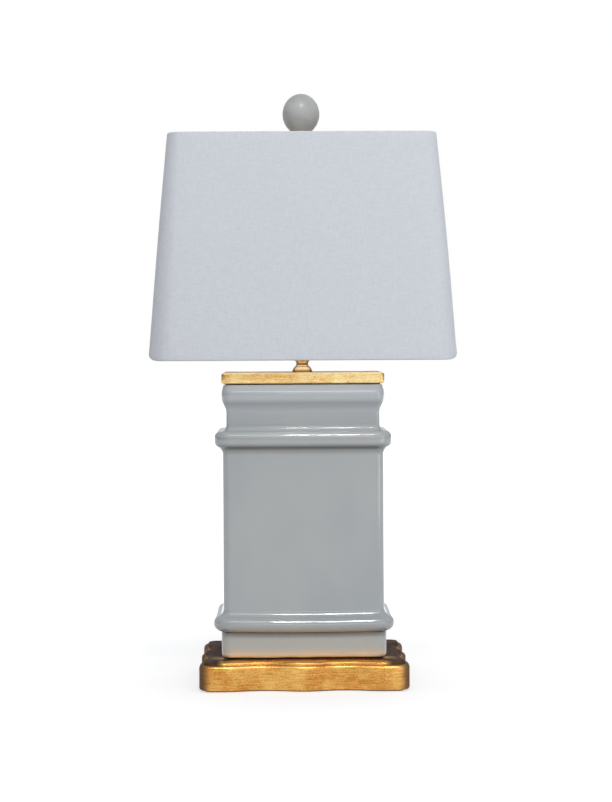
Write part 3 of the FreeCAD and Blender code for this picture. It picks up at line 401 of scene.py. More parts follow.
def tone(bm: bmesh.types.BMesh, how_much: Callable[[Vector], float]) -> None:
    """Notes how darkly each point is painted, from 0 to 1, for painted shade and painted dark reflections.

    Args:
        bm: The mesh.
        how_much: Says it for a point.
    """
    layer = bm.verts.layers.float.new(PAINTED_DARK)
    for vert in bm.verts:
        vert[layer] = how_much(vert.co)


def eased(value: float, low: float, high: float) -> float:
    """Eases a value from 0 at low to 1 at high."""
    share = min(1.0, max(0.0, (value - low) / (high - low)))
    return share * share * (3 - 2 * share)


def turned(bm: bmesh.types.BMesh, profile: Sequence[Point], closed: bool = True, steps: int = 96) -> None:
    """Turns a profile about the lamp's axis.

    Args:
        bm: The mesh that takes it.
        profile: Points of the line, out from the axis and up.
        closed: Whether its last point is joined to its first.
        steps: Straight parts in the round.
    """
    verts = [bm.verts.new((out, 0, up)) for out, up in profile]
    pairs = list(zip(verts, verts[1:])) + ([(verts[-1], verts[0])] if closed else [])
    edges = [bm.edges.new(pair) for pair in pairs]
    bmesh.ops.spin(bm, geom=verts + edges, cent=(0, 0, 0), axis=(0, 0, 1), angle=TURN, steps=steps,
                   use_merge=True)


class Wire:
    """A round wire, drawn on from its end by straight runs and bends."""

    def __init__(self, bm: bmesh.types.BMesh, start: Vector, heading: Vector, radius: float,
                 segments: int = 20) -> None:
        """Starts the wire with a closed end.

        Args:
            bm: The mesh that takes it.
            start: The middle of its first end.
            heading: The way it runs.
            radius: Half its thickness.
            segments: Straight parts in its round.
        """
        self.bm = bm
        self.place = start.copy()
        self.heading = heading.normalized()
        turn = self.heading.to_track_quat("Z", "Y").to_matrix().to_4x4()
        made = bmesh.ops.create_circle(bm, cap_ends=True, segments=segments, radius=radius,
                                       matrix=Matrix.Translation(start) @ turn)
        self.end = edges_of(made["verts"])

    def run(self, length: float) -> "Wire":
        """Draws a straight run.

        Args:
            length: How far.

        Returns:
            The wire, for the next run.
        """
        made = bmesh.ops.extrude_edge_only(self.bm, edges=self.end)["geom"]
        fresh = {item for item in made if isinstance(item, bmesh.types.BMVert)}
        bmesh.ops.translate(self.bm, verts=list(fresh), vec=self.heading * length)
        self.end = [item for item in made if isinstance(item, bmesh.types.BMEdge) and set(item.verts) <= fresh]
        self.place += self.heading * length
        return self

    def bend(self, side: Vector, radius: float, angle: float, steps: int = 12) -> "Wire":
        """Draws a bend.

        Args:
            side: The way that it bends, square to the heading.
            radius: The bend's radius at the wire's middle.
            angle: How far it turns.
            steps: Its straight parts.

        Returns:
            The wire, for the next run.
        """
        middle = self.place + side.normalized() * radius
        axis = self.heading.cross(side).normalized()
        made = bmesh.ops.spin(self.bm, geom=self.end, cent=middle, axis=axis, angle=angle, steps=steps)
        last = made["geom_last"]
        fresh = {item for item in last if isinstance(item, bmesh.types.BMVert)}
        self.end = [item for item in last if isinstance(item, bmesh.types.BMEdge) and set(item.verts) <= fresh]
        rotation = Matrix.Rotation(angle, 3, axis)
        self.place = middle + rotation @ (self.place - middle)
        self.heading = rotation @ self.heading
        return self

    def close(self) -> None:
        """Closes the wire's last end."""
        bmesh.ops.contextual_create(self.bm, geom=self.end)


def uneven(bm: bmesh.types.BMesh, amount: float, reach: float, seed: float) -> None:
    """Pushes every point by up to an amount that changes over a reach, as handwork leaves it."""
    for vert in bm.verts:
        vert.co += noise.noise_vector(vert.co / reach + Vector((seed, seed, seed))) * amount


def wear_of(rings: Sequence[Sequence[Vector]], wear: Sequence[float], rest: float = 0.0) -> list[float]:
    """Gives the first rings their own wear and the others one value."""
    return [*wear, *[rest] * len(rings)][:len(rings)]


@dataclass(frozen=True)
class HexagonNut:
    """A nut about the lamp's axis: chamfer is a share of its width, face is its round face in half widths."""

    across: float
    bottom: float
    top: float
    hole: float = 5.3 * MM
    chamfer: float = 0.04
    face: float = 1.02
    points: int = 48

    def draw(self) -> bmesh.types.BMesh:
        """Lofts the six sides, their broken edges and the round hole.

        Returns:
            The nut's mesh.
        """
        reach = self.across / 2
        plan = []
        for index in range(self.points):
            angle = TURN * index / self.points
            within = (angle % (TURN / 6)) - TURN / 12
            plan.append(Vector((math.cos(angle), math.sin(angle), 0)) * reach / math.cos(within))
        edge = self.chamfer * self.across
        faced = [place.normalized() * min(place.length, reach * self.face) for place in plan]
        low, high = self.bottom, self.top
        levels = ((low, faced), (low + edge, plan), (high - edge, plan), (high, faced))
        rings = [[place + Vector((0, 0, up)) for place in ring] for up, ring in levels]
        rings += [circle_under(plan, self.hole, high), circle_under(plan, self.hole, low)]
        bm = bmesh.new()
        loft(bm, rings)
        return bm


@dataclass(frozen=True)
class Part:
    """What a new piece is called, what it stands for and how it is finished."""

    name: str
    body: str
    slot: str
    material: bpy.types.Material
    stands_for: tuple[str, ...] = ()
    sharp_past: float = SHARP_PAST

    def make(self, bm: bmesh.types.BMesh) -> bpy.types.Object:
        """Closes the mesh, shades it and puts it on its body.

        Args:
            bm: The finished shape, which is freed.

        Returns:
            The new piece.
        """
        bmesh.ops.remove_doubles(bm, verts=bm.verts, dist=SEAM)
        bmesh.ops.recalc_face_normals(bm, faces=bm.faces)
        mesh = bpy.data.meshes.new(self.name)
        bm.to_mesh(mesh)
        bm.free()
        mesh.shade_smooth()
        mesh.set_sharp_from_angle(angle=self.sharp_past)
        mesh.materials.append(self.material)
        made = bpy.data.objects.new(self.name, mesh)
        bpy.context.scene.collection.objects.link(made)
        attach(made, self.body)
        if self.stands_for:
            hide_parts(*self.stands_for)
        log.info("%s: %d faces on %s", self.name, len(mesh.polygons), self.body)
        return made


def finish_node(node: str, material: bpy.types.Material) -> None:
    """Gives a piece of the frame its finish.

    Args:
        node: The piece's name in the frame.
        material: Its finish.
    """
    made = frame["nodes"][node]
    made.data.materials.clear()
    made.data.materials.append(material)
    log.info("%s: finished with %s", node, material.name)


@dataclass(frozen=True)
class GoldLeaf:
    """Gold leaf laid in squares over a red-brown ground on wood."""

    name: str
    pale: Colour
    deep: Colour
    ground: Colour
    leaf: float = 83 * MM
    lap: float = 0.4 * MM
    roughness: float = 0.28
    spots: float = 0.0
    # colour of the painted dark reflection
    wax: Colour = screen_colour(62, 34, 18)

    def dress(self) -> bpy.types.Material:
        """Builds the material.

        Returns:
            Leaf with laps, fine streaks, soft cloudiness, rubbed edges and painted dark reflections.
        """
        tree = Tree.of_material(self.name)
        place = tree.surface_place()
        clouds = tree.noise(place, 34, detail=4, roughness=0.6)
        streaks = tree.noise(tree.surface_place((70, 620, 1)), 1.0, detail=5, roughness=0.7)
        grains = tree.noise(place, 620, detail=4, roughness=0.7)
        laps = tree.add("TexBrick", {"Vector": place, "Color1": (0.3, 0.3, 0.3, 1), "Color2": (0.7, 0.7, 0.7, 1),
                                     "Mortar": (0.5, 0.5, 0.5, 1), "Scale": 1.0, "Mortar Size": self.lap,
                                     "Mortar Smooth": 1.0, "Brick Width": self.leaf, "Row Height": self.leaf})
        tone = tree.math("ADD", tree.ramp(clouds, 0.36, 0.64, 0.0, 0.4),
                         tree.ramp(streaks, 0.32, 0.68, -0.05, 0.55))
        tone = tree.math("ADD", tone, tree.ramp(grains, 0.3, 0.7, -0.18, 0.34))
        tone = tree.math("ADD", tone, tree.ramp(laps.outputs["Color"], 0.3, 0.7, -0.05, 0.1))
        colour = tree.mix(tone, self.deep, self.pale)
        seam = tree.math("MULTIPLY", laps.outputs["Fac"], tree.ramp(tree.noise(place, 130), 0.45, 0.6, 0.0, 0.3))
        colour = tree.mix(seam, colour, self.ground)
        rubbed = tree.noise(place, 240, detail=6, roughness=0.7)
        edge = tree.math("MULTIPLY", tree.attribute(WORN), tree.ramp(rubbed, 0.6, 0.78))
        flecks = tree.ramp(tree.noise(place, 420, detail=3, distortion=0.6), 0.62, 0.72, 0.0, self.spots)
        bare = tree.math("MAXIMUM", edge, flecks)
        colour = tree.mix(bare, colour, self.ground)
        # painted reflection: dark brown where the plinth's ends and top would mirror dark surroundings
        wax = tree.math("MULTIPLY", tree.attribute(PAINTED_DARK), tree.ramp(clouds, 0.3, 0.7, 0.86, 0.98))
        colour = tree.mix(wax, colour, self.wax)
        dull = tree.math("MAXIMUM", tree.math("MULTIPLY", bare, 0.6), wax)
        rough = tree.math("ADD", tree.ramp(clouds, 0.3, 0.7, self.roughness - 0.05, self.roughness + 0.07),
                          tree.math("MULTIPLY", dull, 0.42))
        relief = tree.bump(streaks, 0.00007)
        relief = tree.bump(tree.noise(place, 60, detail=2), 0.00018, relief)
        relief = tree.bump(grains, 0.00005, relief)
        metal = tree.math("SUBTRACT", 0.95, tree.math("MULTIPLY", dull, 0.85))
        return tree.surface({"Base Color": colour, "Metallic": metal, "Roughness": rough, "Normal": relief})


@dataclass(frozen=True)
class Glaze:
    """A thick glossy grey glaze on a fired body, thinner where the body has an edge, with painted light towards the
    top, a painted warm reflection at the foot and painted shade under the beads and the lip.
    """

    name: str = "grey_glaze"
    colour: Colour = screen_colour(188, 192, 192)
    pooled: Colour = screen_colour(179, 185, 187)
    # colour of the painted light towards the top
    upper: Colour = screen_colour(212, 219, 224)
    # colour of the painted warm reflection at the foot
    lower: Colour = screen_colour(196, 199, 192)
    biscuit: Colour = screen_colour(240, 214, 180)
    # colour of the painted shade under the beads and the lip
    grime: Colour = screen_colour(72, 62, 50)
    upper_from: float = 262 * MM
    upper_whole: float = 315 * MM
    lower_from: float = 72 * MM
    lower_whole: float = 50 * MM

    def dress(self) -> bpy.types.Material:
        """Builds the material.

        Returns:
            A gloss glaze with soft clouds, a slow ripple, a warmer tone at its thin edges, painted light at its top,
            a painted warm reflection at its foot and painted shade under its beads.
        """
        tree = Tree.of_material(self.name)
        place = tree.object_place()
        clouds = tree.noise(tree.object_place((1, 1, 0.55)), 11, detail=3, roughness=0.55)
        colour = tree.mix(tree.ramp(clouds, 0.35, 0.65), self.colour, self.pooled)
        height = tree.add("SeparateXYZ", {"Vector": place}).outputs["Z"]
        # painted light: the body lighter towards its top, against the shadow that the shade casts there
        colour = tree.mix(tree.ramp(height, self.upper_from, self.upper_whole), colour, self.upper)
        # painted reflection: lighter and warmer towards the foot, as the gilt plinth reflects there
        colour = tree.mix(tree.ramp(height, self.lower_from, self.lower_whole), colour, self.lower)
        specks = tree.ramp(tree.noise(place, 1100, detail=1), 0.79, 0.83, 0.0, 0.35)
        colour = tree.mix(specks, colour, tuple(0.45 * value for value in self.colour))
        thin = tree.math("MULTIPLY", tree.attribute(WORN), tree.ramp(tree.noise(place, 45), 0.3, 0.7, 0.7, 1.0))
        colour = tree.mix(thin, colour, self.biscuit)
        # painted shade under the beads and the lip
        colour = tree.mix(tree.math("MULTIPLY", tree.attribute(PAINTED_DARK), 0.85), colour, self.grime)
        relief = tree.bump(tree.noise(place, 22, detail=1), 0.00015)
        relief = tree.bump(tree.noise(place, 420, detail=1), 0.0000015, relief)
        return tree.surface({"Base Color": colour, "Roughness": tree.ramp(clouds, 0.3, 0.7, 0.05, 0.09),
                             "Specular IOR Level": 0.5, "IOR": 1.53, "Coat Weight": 0.6,
                             "Coat Roughness": 0.03, "Normal": relief})


@dataclass(frozen=True)
class Metal:
    """A worked metal, polished or satin, with what use has left on it, and painted shade in its grooves where asked.
    """

    name: str
    colour: Colour
    tarnish: Colour
    roughness: float
    tarnished: float = 0.25
    turned_lines: float = 0.0000008
    thread: float = 0.0
    toned: float = 0.0
    grime: Colour = screen_colour(48, 30, 16)

    def dress(self) -> bpy.types.Material:
        """Builds the material.

        Returns:
            Metal with fine tool lines round the axis, a soft film, painted shade in its grooves where asked and, on a
            rod, its thread.
        """
        tree = Tree.of_material(self.name)
        place = tree.object_place()
        film = tree.noise(place, 160, detail=5, roughness=0.6)
        colour = tree.mix(tree.ramp(film, 0.42, 0.7, 0.0, self.tarnished), self.colour, self.tarnish)
        # painted shade in the turned pieces' grooves
        if self.toned:
            colour = tree.mix(tree.math("MULTIPLY", tree.attribute(PAINTED_DARK), self.toned), colour, self.grime)
        lines = tree.noise(tree.object_place((30, 30, 6000)), 1.0, detail=2)
        relief = tree.bump(lines, self.turned_lines)
        if self.thread:
            wave = tree.add("TexWave", {"Vector": place, "Scale": 1 / (self.thread * TURN) * math.pi},
                            wave_type="BANDS", bands_direction="Z", wave_profile="TRI")
            relief = tree.bump(wave.outputs["Fac"], self.thread * 0.4, relief)
        rough = tree.ramp(film, 0.35, 0.7, self.roughness, self.roughness + 0.14)
        return tree.surface({"Base Color": colour, "Metallic": 1.0, "Roughness": rough, "Normal": relief})


@dataclass(frozen=True)
class Cloth:
    """A fine plain weave, in metres along the piece's own surface."""

    name: str
    colour: Colour
    shadow: Colour
    threads: float = 1900.0
    relief: float = 0.00003

    def dress(self) -> bpy.types.Material:
        """Builds the material.

        Returns:
            Crossing threads with slubs, faint unevenness of tone and a soft sheen.
        """
        tree = Tree.of_material(self.name)
        across = self.thread_line(tree, "X")
        along = self.thread_line(tree, "Y")
        checker = tree.add("TexChecker", {"Vector": tree.surface_place(), "Scale": self.threads * 2,
                                          "Color1": (1, 1, 1, 1), "Color2": (0, 0, 0, 1)}).outputs["Fac"]
        weave = tree.math("ADD", tree.math("MULTIPLY", across, checker),
                          tree.math("MULTIPLY", along, tree.math("SUBTRACT", 1.0, checker)))
        slubs = tree.math("ADD", tree.noise(tree.surface_place((70, 1500, 1)), 1.0, detail=2),
                          tree.noise(tree.surface_place((1500, 70, 1)), 1.0, detail=2))
        mottle = tree.noise(tree.surface_place(), 300, detail=4, roughness=0.7)
        tone = tree.math("ADD", tree.ramp(slubs, 0.75, 1.25, 0.0, 0.55), tree.ramp(mottle, 0.3, 0.7, 0.0, 0.45))
        tone = tree.math("ADD", tone, tree.math("MULTIPLY", weave, -0.25))
        colour = tree.mix(tone, self.colour, self.shadow)
        relief = tree.bump(weave, self.relief)
        relief = tree.bump(slubs, self.relief * 0.7, relief)
        return tree.surface({"Base Color": colour, "Roughness": 0.92, "Specular IOR Level": 0.2,
                             "Sheen Weight": 0.12, "Sheen Roughness": 0.4, "Normal": relief})

    def thread_line(self, tree: Tree, direction: str) -> bpy.types.NodeSocket:
        """Gives the round of the threads that lie one way.

        Args:
            tree: The nodes that take it.
            direction: X or Y, across the threads.

        Returns:
            The height across each thread.
        """
        wave = tree.add("TexWave", {"Vector": tree.surface_place(), "Scale": self.threads / TURN * math.pi,
                                    "Distortion": 0.6, "Detail": 1.0, "Detail Scale": 1.5},
                        wave_type="BANDS", bands_direction=direction, wave_profile="SIN")
        return wave.outputs["Fac"]


@dataclass(frozen=True)
class Plain:
    """A plain solid stuff such as plastic, rubber, felt, card, enamel, stone or opal glass."""

    name: str
    colour: Colour
    second: Colour
    roughness: float
    cloud: float = 60.0
    mixed: float = 0.4
    grain: float = 500.0
    relief: float = 0.00001
    coat: float = 0.0
    sheen: float = 0.0
    body: float = 0.0
    reach: float = 0.0003

    def dress(self) -> bpy.types.Material:
        """Builds the material.

        Returns:
            Two close tones in soft clouds over a fine surface grain.
        """
        tree = Tree.of_material(self.name)
        place = tree.object_place()
        clouds = tree.noise(place, self.cloud, detail=6, roughness=0.6, distortion=0.8)
        colour = tree.mix(tree.ramp(clouds, 0.35, 0.68, 0.0, self.mixed), self.colour, self.second)
        relief = tree.bump(tree.noise(place, self.grain, detail=3), self.relief)
        rough = tree.ramp(clouds, 0.3, 0.7, self.roughness, min(1.0, self.roughness + 0.08))
        values: dict[str | int, object] = {"Base Color": colour, "Roughness": rough, "Normal": relief,
                                           "Coat Weight": self.coat, "Coat Roughness": 0.1,
                                           "Sheen Weight": self.sheen}
        if self.body:
            values |= {"Subsurface Weight": self.body, "Subsurface Radius": (1, 1, 1),
                       "Subsurface Scale": self.reach}
        return tree.surface(values)


class Finish(Enum):
    """The lamp's finishes, each with its maker's recipe."""

    PLINTH_LEAF = GoldLeaf("plinth_gold_leaf", screen_colour(252, 204, 116), screen_colour(198, 121, 46),
                           screen_colour(110, 56, 24))
    CAP_LEAF = GoldLeaf("cap_gold_leaf", screen_colour(245, 226, 167), screen_colour(217, 164, 90),
                        screen_colour(122, 70, 30), spots=0.7, roughness=0.27)
    GLAZE = Glaze()
    NECK_BRASS = Metal("polished_brass", screen_colour(240, 204, 152), screen_colour(170, 130, 76), 0.07,
                       turned_lines=0.0000002, toned=0.9)
    BRASS = Metal("bright_brass", screen_colour(232, 202, 130), screen_colour(168, 132, 70), 0.22)
    SOCKET_BRASS = Metal("lampholder_brass", screen_colour(226, 196, 128), screen_colour(160, 124, 64), 0.3)
    STEEL = Metal("zinc_steel", screen_colour(196, 196, 192), screen_colour(138, 136, 128), 0.34)
    ROD = Metal("threaded_steel", screen_colour(190, 190, 186), screen_colour(130, 128, 120), 0.36,
                thread=0.00094)
    CONTACT = Metal("nickel_brass", screen_colour(222, 206, 160), screen_colour(168, 144, 92), 0.24)
    BULB_CAP = Metal("bulb_cap_metal", screen_colour(214, 214, 212), screen_colour(164, 164, 160), 0.28)
    CLOTH = Cloth("woven_linen", screen_colour(242, 246, 251), screen_colour(228, 232, 238))
    LINING = Plain("white_lining", screen_colour(238, 237, 233), screen_colour(230, 229, 224), 0.34, coat=0.1)
    ENAMEL = Plain("white_enamel", screen_colour(236, 235, 230), screen_colour(222, 220, 212), 0.3, coat=0.3)
    STONE = Plain("pale_stone", screen_colour(205, 206, 204), screen_colour(189, 191, 188), 0.3,
                  cloud=42.0, mixed=0.85, grain=1500.0, relief=0.000012, coat=0.1, body=0.15)
    OPAL = Plain("opal_glass", screen_colour(244, 243, 238), screen_colour(240, 238, 232), 0.12,
                 coat=0.6, body=0.4, relief=0.0)
    PHENOLIC = Plain("black_phenolic", screen_colour(38, 34, 31), screen_colour(52, 46, 41), 0.32, coat=0.2)
    BROWN_PLASTIC = Plain("brown_plastic", screen_colour(74, 58, 44), screen_colour(60, 46, 35), 0.42)
    RUBBER = Plain("dark_gasket", screen_colour(34, 27, 24), screen_colour(24, 19, 17), 0.7)
    FELT = Plain("green_felt", screen_colour(38, 58, 44), screen_colour(50, 72, 56), 0.95, cloud=700.0,
                 mixed=1.0, grain=2600.0, relief=0.0003, sheen=0.4)
    CARD = Plain("insulating_card", screen_colour(120, 104, 84), screen_colour(98, 84, 66), 0.85, cloud=400.0)

    def material(self) -> bpy.types.Material:
        """Gives the finish's material, built the first time that it is asked for."""
        return bpy.data.materials.get(self.value.name) or self.value.dress()


@dataclass(frozen=True)
class Serpentine:
    """The plinth's plan: on each side a middle lobe, two hollows and the corner lobes."""

    width: float = 221 * MM
    depth: float = 158 * MM
    corner: float = 14 * MM
    hollow: float = 5.5 * MM
    middle_share: float = 0.42
    front_hollow: float = 41 * MM
    side_hollow: float = 28 * MM
    front_flat: float = 9.5 * MM
    side_flat: float = 7 * MM
    steps: int = 9

    def half_side(self, half_length: float, hollow_at: float, flat: float) -> list[tuple[float, float, float]]:
        """Walks from the middle of a side to its corner lobe.

        Args:
            half_length: Half of the side, with its corner.
            hollow_at: Where the hollow is deepest, from the middle.
            flat: Straight end of the corner lobe.

        Returns:
            How far along, how far in and which slope, place by place.
        """
        lobe_at = half_length - self.corner - flat
        walk: list[tuple[float, float, float]] = []
        for lobe, run, share in ((0.0, hollow_at, self.middle_share), (lobe_at, hollow_at - lobe_at, 0.5)):
            angle = 2 * math.atan2(self.hollow, abs(run))
            whole = abs(run) / math.sin(angle)
            way = math.copysign(1, run)
            part = []
            for step in range(self.steps + 1):
                turn = angle * step / self.steps
                along = lobe + way * share * whole * math.sin(turn)
                part.append((along, share * whole * (1 - math.cos(turn)), way * turn))
            for step in range(1, self.steps + 1):
                turn = angle * (1 - step / self.steps)
                along = hollow_at - way * (1 - share) * whole * math.sin(turn)
                part.append((along, self.hollow - (1 - share) * whole * (1 - math.cos(turn)), way * turn))
            walk += part if lobe == 0 else part[-2::-1]
        walk.append((lobe_at + flat / 2, 0.0, 0.0))
        return walk

    def ring(self, inset: float, up: float) -> list[Vector]:
        """Places the points of the plan, counter-clockwise from the middle of the rear.

        Args:
            inset: How far it lies inside the plinth's outline.
            up: Its height.

        Returns:
            The places.
        """
        half_x, half_y = self.width / 2, self.depth / 2
        sides = ((self.front_hollow, self.front_flat, half_x, half_y),
                 (self.side_hollow, self.side_flat, half_y, half_x))
        places: list[Vector] = []
        for quarter in (2, 3, 4, 5):
            hollow_at, flat, half_length, reach = sides[quarter % 2]
            half = self.half_side(half_length, hollow_at, flat)
            walk = [(-along, inward, -slope) for along, inward, slope in half[:0:-1]] + half
            turn = Matrix.Rotation(quarter * TURN / 4, 3, "Z")
            for along, inward, slope in walk:
                place = Vector((along - inset * math.sin(slope), -reach + inward + inset * math.cos(slope), up))
                places.append(turn @ place)
            middle = turn @ Vector((half_length - self.corner, self.corner - reach, up))
            for step in range(self.steps + 1):
                angle = TURN / 4 * (quarter - 1 + step / self.steps)
                places.append(middle + Vector((math.cos(angle), math.sin(angle), 0)) * (self.corner - inset))
        seam = len(self.half_side(half_x, self.front_hollow, self.front_flat)) - 1
        return places[seam:] + places[:seam]


def from_middle_of_rear(ring: list[Vector]) -> list[Vector]:
    """Starts a ring at the point nearest to the middle of its rear side."""
    start = min(range(len(ring)), key=lambda index: (ring[index].y < 0, abs(ring[index].x)))
    return ring[start:] + ring[:start]


def cut_away(made: bpy.types.Object, tool: bmesh.types.BMesh) -> None:
    """Cuts a closed shape out of a piece for good.

    Args:
        made: The piece.
        tool: The shape that is taken away, which is freed.
    """
    mesh = bpy.data.meshes.new("cutter")
    tool.to_mesh(mesh)
    tool.free()
    cutter = bpy.data.objects.new("cutter", mesh)
    bpy.context.scene.collection.objects.link(cutter)
    boolean = made.modifiers.new("cut", "BOOLEAN")
    boolean.object = cutter
    boolean.solver = "EXACT"
    bpy.context.view_layer.update()
    cut = bpy.data.meshes.new_from_object(made.evaluated_get(bpy.context.evaluated_depsgraph_get()))
    made.modifiers.remove(boolean)
    cut.name = made.name
    made.data = cut
    cut.set_sharp_from_angle(angle=SHARP_PAST)
    bpy.data.objects.remove(cutter)


def screw_thread(bm: bmesh.types.BMesh, pitch: float, depth: float, bottom: float, top: float) -> None:
    """Rolls a thread into the upright walls of a turned piece.

    Args:
        bm: The turned piece, about the lamp's axis.
        pitch: Height of one turn.
        depth: How far the grooves go, in for a positive depth and out for a negative one.
        bottom: Where the thread starts.
        top: Where it ends.
    """
    for vert in bm.verts:
        if bottom < vert.co.z < top:
            fade = min(1.0, (vert.co.z - bottom) / pitch, (top - vert.co.z) / pitch)
            turn = math.atan2(vert.co.y, vert.co.x) - TURN * vert.co.z / pitch
            reach = Vector((vert.co.x, vert.co.y, 0))
            vert.co -= reach.normalized() * depth * fade * (0.5 - 0.5 * math.cos(turn))


@dataclass
class Plinth:
    """The gilt wooden base with its felt, bushing and the rod's fastenings."""

    plan: Serpentine = Serpentine()
    bottom: float = 1.5 * MM
    top: float = 30.3 * MM
    step: float = 2.5 * MM
    step_inset: float = 4.6 * MM
    step_edge: float = 1.6 * MM
    round_edge: float = 3.8 * MM
    bottom_edge: float = 2.5 * MM
    recess: float = 22 * MM
    recess_top: float = 18.5 * MM
    rod_hole: float = 5.65 * MM
    cord_way: float = 5 * MM
    cord_way_from: float = 12 * MM
    cord_height: float = 10.2 * MM
    top_inset: float = 22 * MM
    warp: float = 0.12 * MM
    warp_reach: float = 45 * MM
    # where the painted dark reflection lies on the base
    waxed_left: float = 97 * MM
    waxed_right: float = 98 * MM
    wax_run: float = 11 * MM
    waxed_beside: Point = (84 * MM, 90 * MM)
    waxed_behind: Point = (-46 * MM, -30 * MM)
    nut: HexagonNut = HexagonNut(15.9 * MM, 10.8 * MM, 15.8 * MM)
    wear: tuple[float, ...] = (0.6, 0.6, 0.6, 0.25, 0.25, 0.0, 0.0, 0.0, 0.0, 0.0, 0.45, 0.7, 0.85, 0.85, 0.8, 0.6,
                               0.4, 0.3, 0.6, 0.6, 0.3, 0.7, 0.9, 0.9, 0.6, 0.2)

    def build(self) -> None:
        """Builds the base and finishes the pieces under it."""
        made = Part("plinth", "stand", "gilt_plinth", Finish.PLINTH_LEAF.material(), ("base_plinth",)).make(
            self.block())
        tool = bmesh.new()
        length = self.plan.depth / 2
        middle = Matrix.Translation((0, length / 2 + self.cord_way_from, self.cord_height))
        bmesh.ops.create_cone(tool, cap_ends=True, segments=48, radius1=self.cord_way, radius2=self.cord_way,
                              depth=length, matrix=middle @ Matrix.Rotation(TURN / 4, 4, "X"))
        cut_away(made, tool)
        finish_node("felt_pad", Finish.FELT.material())
        finish_node("cord_bushing", Finish.BROWN_PLASTIC.material())
        for node in ("rod_washer", "rod_lock_washer"):
            finish_node(node, Finish.STEEL.material())
        Part("base_nut", "stand", "steel", Finish.STEEL.material(), ("rod_nut",)).make(self.nut.draw())

    def block(self) -> bmesh.types.BMesh:
        """Draws the moulded edge round the serpentine plan, with the recess and the rod's hole.

        Returns:
            The block's mesh, before the cord's way is bored.
        """
        ledge = self.top - self.step
        corner = self.round_edge
        walk = Profile(self.bottom_edge, self.bottom)
        walk.arc((self.bottom_edge, self.bottom + self.bottom_edge), 0, self.bottom + self.bottom_edge, 4)
        walk.line(0, ledge - corner - 1 * MM, 5).line(0, ledge - corner)
        walk.arc((corner, ledge - corner), corner, ledge, 7).line(self.step_inset - 0.15 * MM, ledge)
        walk.line(self.step_inset, ledge + 0.15 * MM).line(self.step_inset, self.top - self.step_edge)
        walk.arc((self.step_inset + self.step_edge, self.top - self.step_edge),
                 self.step_inset + self.step_edge, self.top, 4)
        walk.line(self.top_inset, self.top)
        rings = [self.plan.ring(inset, up) for inset, up in walk.points]
        outer = rings[0]
        rings.append(circle_under(outer, self.rod_hole, self.top))
        rings.append(circle_under(outer, self.rod_hole, self.recess_top))
        rings.append(circle_under(outer, self.recess, self.recess_top))
        rings.append(circle_under(outer, self.recess, self.bottom))
        bm = bmesh.new()
        loft(bm, rings, worn=wear_of(rings, self.wear))
        # painted dark reflections on the base's ends and on its top round the column
        tone(bm, self.toning)
        for vert in bm.verts:
            if vert.co.z > self.bottom + self.bottom_edge:
                vert.co += noise.noise_vector(vert.co / self.warp_reach) * self.warp
        return bm

    def toning(self, place: Vector) -> float:
        """Says how much painted dark reflection a point takes: the base's ends, and its top round the column.

        Args:
            place: The point.

        Returns:
            From 0 to a little over 1.
        """
        start = self.waxed_left if place.x < 0 else self.waxed_right
        ends = 0.9 * eased(abs(place.x), start, start + self.wax_run)
        beside = eased(abs(place.x), *self.waxed_beside)
        behind = eased(place.y, *self.waxed_behind)
        on_top = 1.06 * eased(place.z, self.top - 4.2 * MM, self.top - 2 * MM)
        return max(ends, on_top * max(beside, behind))


